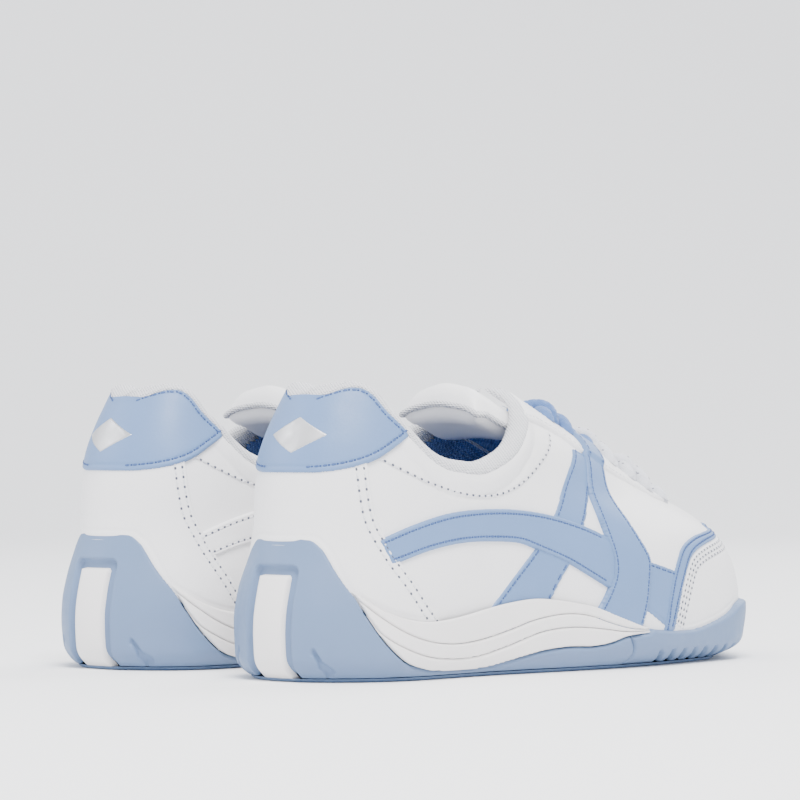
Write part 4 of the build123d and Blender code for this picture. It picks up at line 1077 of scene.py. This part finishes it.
# bound edge round the tongue
rim = np.concatenate([upper[::-1, 0], end[len(end) // 2], upper[:, -1]])
rim = np.concatenate([0.5 * (upper[::-1, 0] + lower[::-1, 0]), end[len(end) // 2] + [0, -0.1, 0], 0.5 * (upper[:, -1] + lower[:, -1])])
v, q = tube(rim, 1.15, 10)
rimo = mesh_object("tongue_edge", v, q, "knit_white", body="tongue", slot="white_knit")

# ------------------------------------------------------------------ lace
def stay_height(y):
    return 58.0 + (203.0 - y) / 2.25


def strand(side, high):
    points, tags = [], []
    for k in range(len(EYELET_Y) - 1, -1, -1):
        y = EYELET_Y[k]
        top, x = stay_height(y), side * EYELET_X
        points += [(x, y - 0.6, top + 1.9), (x, y + 0.9, top - 7.0)]
        if k:
            points += [(side * 4.8, y - 2.2, stay_height(y - 2.2) - 5.2), (side * 4.6, y - 3.4, stay_height(y - 3.4) + high)]
            side = -side
        else:
            points.append((side * 5.0, y - 9.0, stay_height(y - 9.0) - 5.4))
    return points


route = np.array(strand(1, 4.4)[::-1] + strand(-1, 8.8))
cu = bpy.data.curves.new("lace_path", "CURVE")
cu.dimensions = "3D"
cu.resolution_u = 10
spn = cu.splines.new("NURBS")
spn.points.add(len(route) - 1)
for k, p in enumerate(route):
    spn.points[k].co = (p[0], p[1], p[2], 1.0)
spn.order_u = 3
spn.use_endpoint_u = True
cuo = bpy.data.objects.new("lace_path", cu)
bpy.context.scene.collection.objects.link(cuo)
pm = bpy.data.meshes.new_from_object(cuo)
pts = np.array([v.co[:] for v in pm.vertices])
bpy.data.objects.remove(cuo)
bpy.data.curves.remove(cu)
bpy.data.meshes.remove(pm)
d = np.concatenate([[0], np.cumsum(np.linalg.norm(np.diff(pts, axis=0), axis=1))])
step = 0.3
n = int(d[-1] / step)
pts = np.column_stack([np.interp(np.linspace(0, d[-1], n), d, pts[:, k]) for k in range(3)])


def braid(d, a):
    p1 = np.sin(8 * a / 2 + d * 2.3)
    p2 = np.sin(8 * a / 2 - d * 2.3)
    return 0.17 * np.maximum(p1, p2) - 0.05


blue = pts[:, 1] < 160.0
runs, st = [], 0
for k in range(1, n):
    if blue[k] != blue[k - 1]:
        runs.append((st, k, blue[k - 1]))
        st = k
runs.append((st, n, blue[-1]))
parts = {True: [], False: []}
for a, b, c in runs:
    if b - a > 3:
        parts[bool(c)].append(tube(pts[max(a - 1, 0):min(b + 1, n)], 2.4, 20, relief=braid))
for c, nm, mt in ((True, "lace", "lace_blue"), (False, "lace_lower", "lace_white")):
    V, F, base = [], [], 0
    for v, q in parts[c]:
        V.append(v)
        F.append(q + base)
        base += len(v)
    mesh_object(nm, np.concatenate(V), np.concatenate(F), mt, replaces=("lace",) if c else (), slot="lace_yarn")
# navy flecks on the lower rows
V, F, base = [], [], 0
low = pts[~blue]
tg = np.gradient(low, axis=0)
tg /= np.linalg.norm(tg, axis=1, keepdims=True) + 1e-9
for k in range(6, len(low) - 6, max(int(2.6 / step), 3)):
    if low[k, 2] < stay_height(low[k, 1]) + 0.5:
        continue
    a = RNG.uniform(-1.1, 1.1)
    sd = np.cross(tg[k], [0, 0, 1.0])
    sd /= np.linalg.norm(sd) + 1e-9
    nn = np.cross(sd, tg[k])
    dr = nn * math.cos(a) + sd * math.sin(a)
    v, f = blobs((low[k] + dr * 2.45)[None], (tg[k] * 0.8 + np.cross(dr, tg[k]) * 0.6)[None], dr[None], 1.1, 0.5, 0.16)
    V.append(v)
    F.append(f + base)
    base += len(v)
if V:
    mesh_object("lace_flecks", np.concatenate(V), np.concatenate(F), "navy_fleck_and_hole_shade", slot="lace_yarn")
# punched eyelets: each a flat dark disc of painted shade where the hole is
V, F, base = [], [], 0
for y in EYELET_Y:
    for x in (-EYELET_X, EYELET_X):
        s = plan([(x, y), (x, y + 0.5)])[0]
        P, N = UP.at(np.array([s[0]]), np.array([s[1]]), 1.42)
        n_ = N[0]
        u = np.cross(n_, [0, 1.0, 0])
        u /= np.linalg.norm(u)
        w = np.cross(n_, u)
        a = np.linspace(0, 2 * math.pi, 24, endpoint=False)
        ring_ = P[0] + 2.5 * (np.cos(a)[:, None] * u + np.sin(a)[:, None] * w)
        V.append(np.concatenate([ring_, P]))
        F += [(base + k, base + (k + 1) % 24, base + 24) for k in range(24)]
        base += 25
mesh_object("eyelets", np.concatenate(V), np.array(F), "navy_fleck_and_hole_shade", slot="white_leather")
# points for a keeper arch at the top of the throat; nothing is built from them
ar = np.array([(-7.0, 108.5, 0), (-6.4, 108.0, 0), (0, 106.0, 0), (6.4, 108.0, 0), (7.0, 108.5, 0)])

# ------------------------------------------------------------------ stage, light, camera
def plain(name, col, rough):
    m = bpy.data.materials.new(name)
    m.use_nodes = True
    nt = m.node_tree
    b = nt.nodes["Principled BSDF"]
    tc, nz, mx = nt.nodes.new("ShaderNodeTexCoord"), nt.nodes.new("ShaderNodeTexNoise"), nt.nodes.new("ShaderNodeMapRange")
    nz.inputs["Scale"].default_value = 3.0
    nt.links.new(tc.outputs["Object"], nz.inputs["Vector"])
    mx.inputs["To Min"].default_value = rough - 0.03
    mx.inputs["To Max"].default_value = rough + 0.03
    nt.links.new(nz.outputs[0], mx.inputs["Value"])
    nt.links.new(mx.outputs[0], b.inputs["Roughness"])
    b.inputs["Base Color"].default_value = col
    return m


prof = [(-4.0, 0.0)] + [(1.6, 0.0)] + [(1.6 + 0.8 * math.sin(t), 0.8 - 0.8 * math.cos(t)) for t in np.linspace(0.1, math.pi / 2, 12)] + [(2.4, 4.0)]
ca, sa = math.cos(math.radians(43.2)), math.sin(math.radians(43.2))
V, F = [], []
for k, (d_, z_) in enumerate(prof):
    for w_ in (-5.0, 5.0):
        V.append((-sa * d_ + ca * w_, ca * d_ + sa * w_, z_))
for k in range(len(prof) - 1):
    F.append((2 * k, 2 * k + 1, 2 * k + 3, 2 * k + 2))
me = bpy.data.meshes.new("backdrop")
me.from_pydata(V, [], F)
me.polygons.foreach_set("use_smooth", [True] * len(F))
bd = bpy.data.objects.new("backdrop", me)
bpy.context.scene.collection.objects.link(bd)
me.materials.append(plain("backdrop", (0.93, 0.93, 0.935, 1), 0.9))

wd = bpy.data.worlds.new("soft")
bpy.context.scene.world = wd
wd.use_nodes = True
wd.node_tree.nodes["Background"].inputs[0].default_value = (0.93, 0.95, 1.0, 1)
wd.node_tree.nodes["Background"].inputs[1].default_value = 1.55


def area(name, loc, target, size, power, col=(1, 1, 1)):
    li = bpy.data.lights.new(name, "AREA")
    li.shape = "DISK"
    li.size = size
    li.energy = power
    li.color = col
    o = bpy.data.objects.new(name, li)
    o.location = loc
    o.rotation_euler = (Vector(target) - Vector(loc)).to_track_quat("-Z", "Y").to_euler()
    bpy.context.scene.collection.objects.link(o)


area("key", (0.7, -0.6, 1.5), (0, 0, 0.04), 0.9, 52, (1.0, 0.985, 0.97))
area("fill", (-1.2, -1.1, 0.9), (0, 0, 0.04), 1.2, 12, (0.95, 0.97, 1.0))
area("rear", (-0.2, 1.3, 1.3), (0, 0, 0.04), 1.2, 22)

cam = bpy.data.cameras.new("camera")
cam.lens = 168.3
cam.sensor_width = 36
cam.clip_start = 0.05
co = bpy.data.objects.new("camera", cam)
co.location = (0.93475, -1.0053, 0.0834)
co.rotation_euler = Vector((-0.6845, 0.7290, 0.00873)).to_track_quat("-Z", "Y").to_euler()
bpy.context.scene.collection.objects.link(co)
bpy.context.scene.camera = co
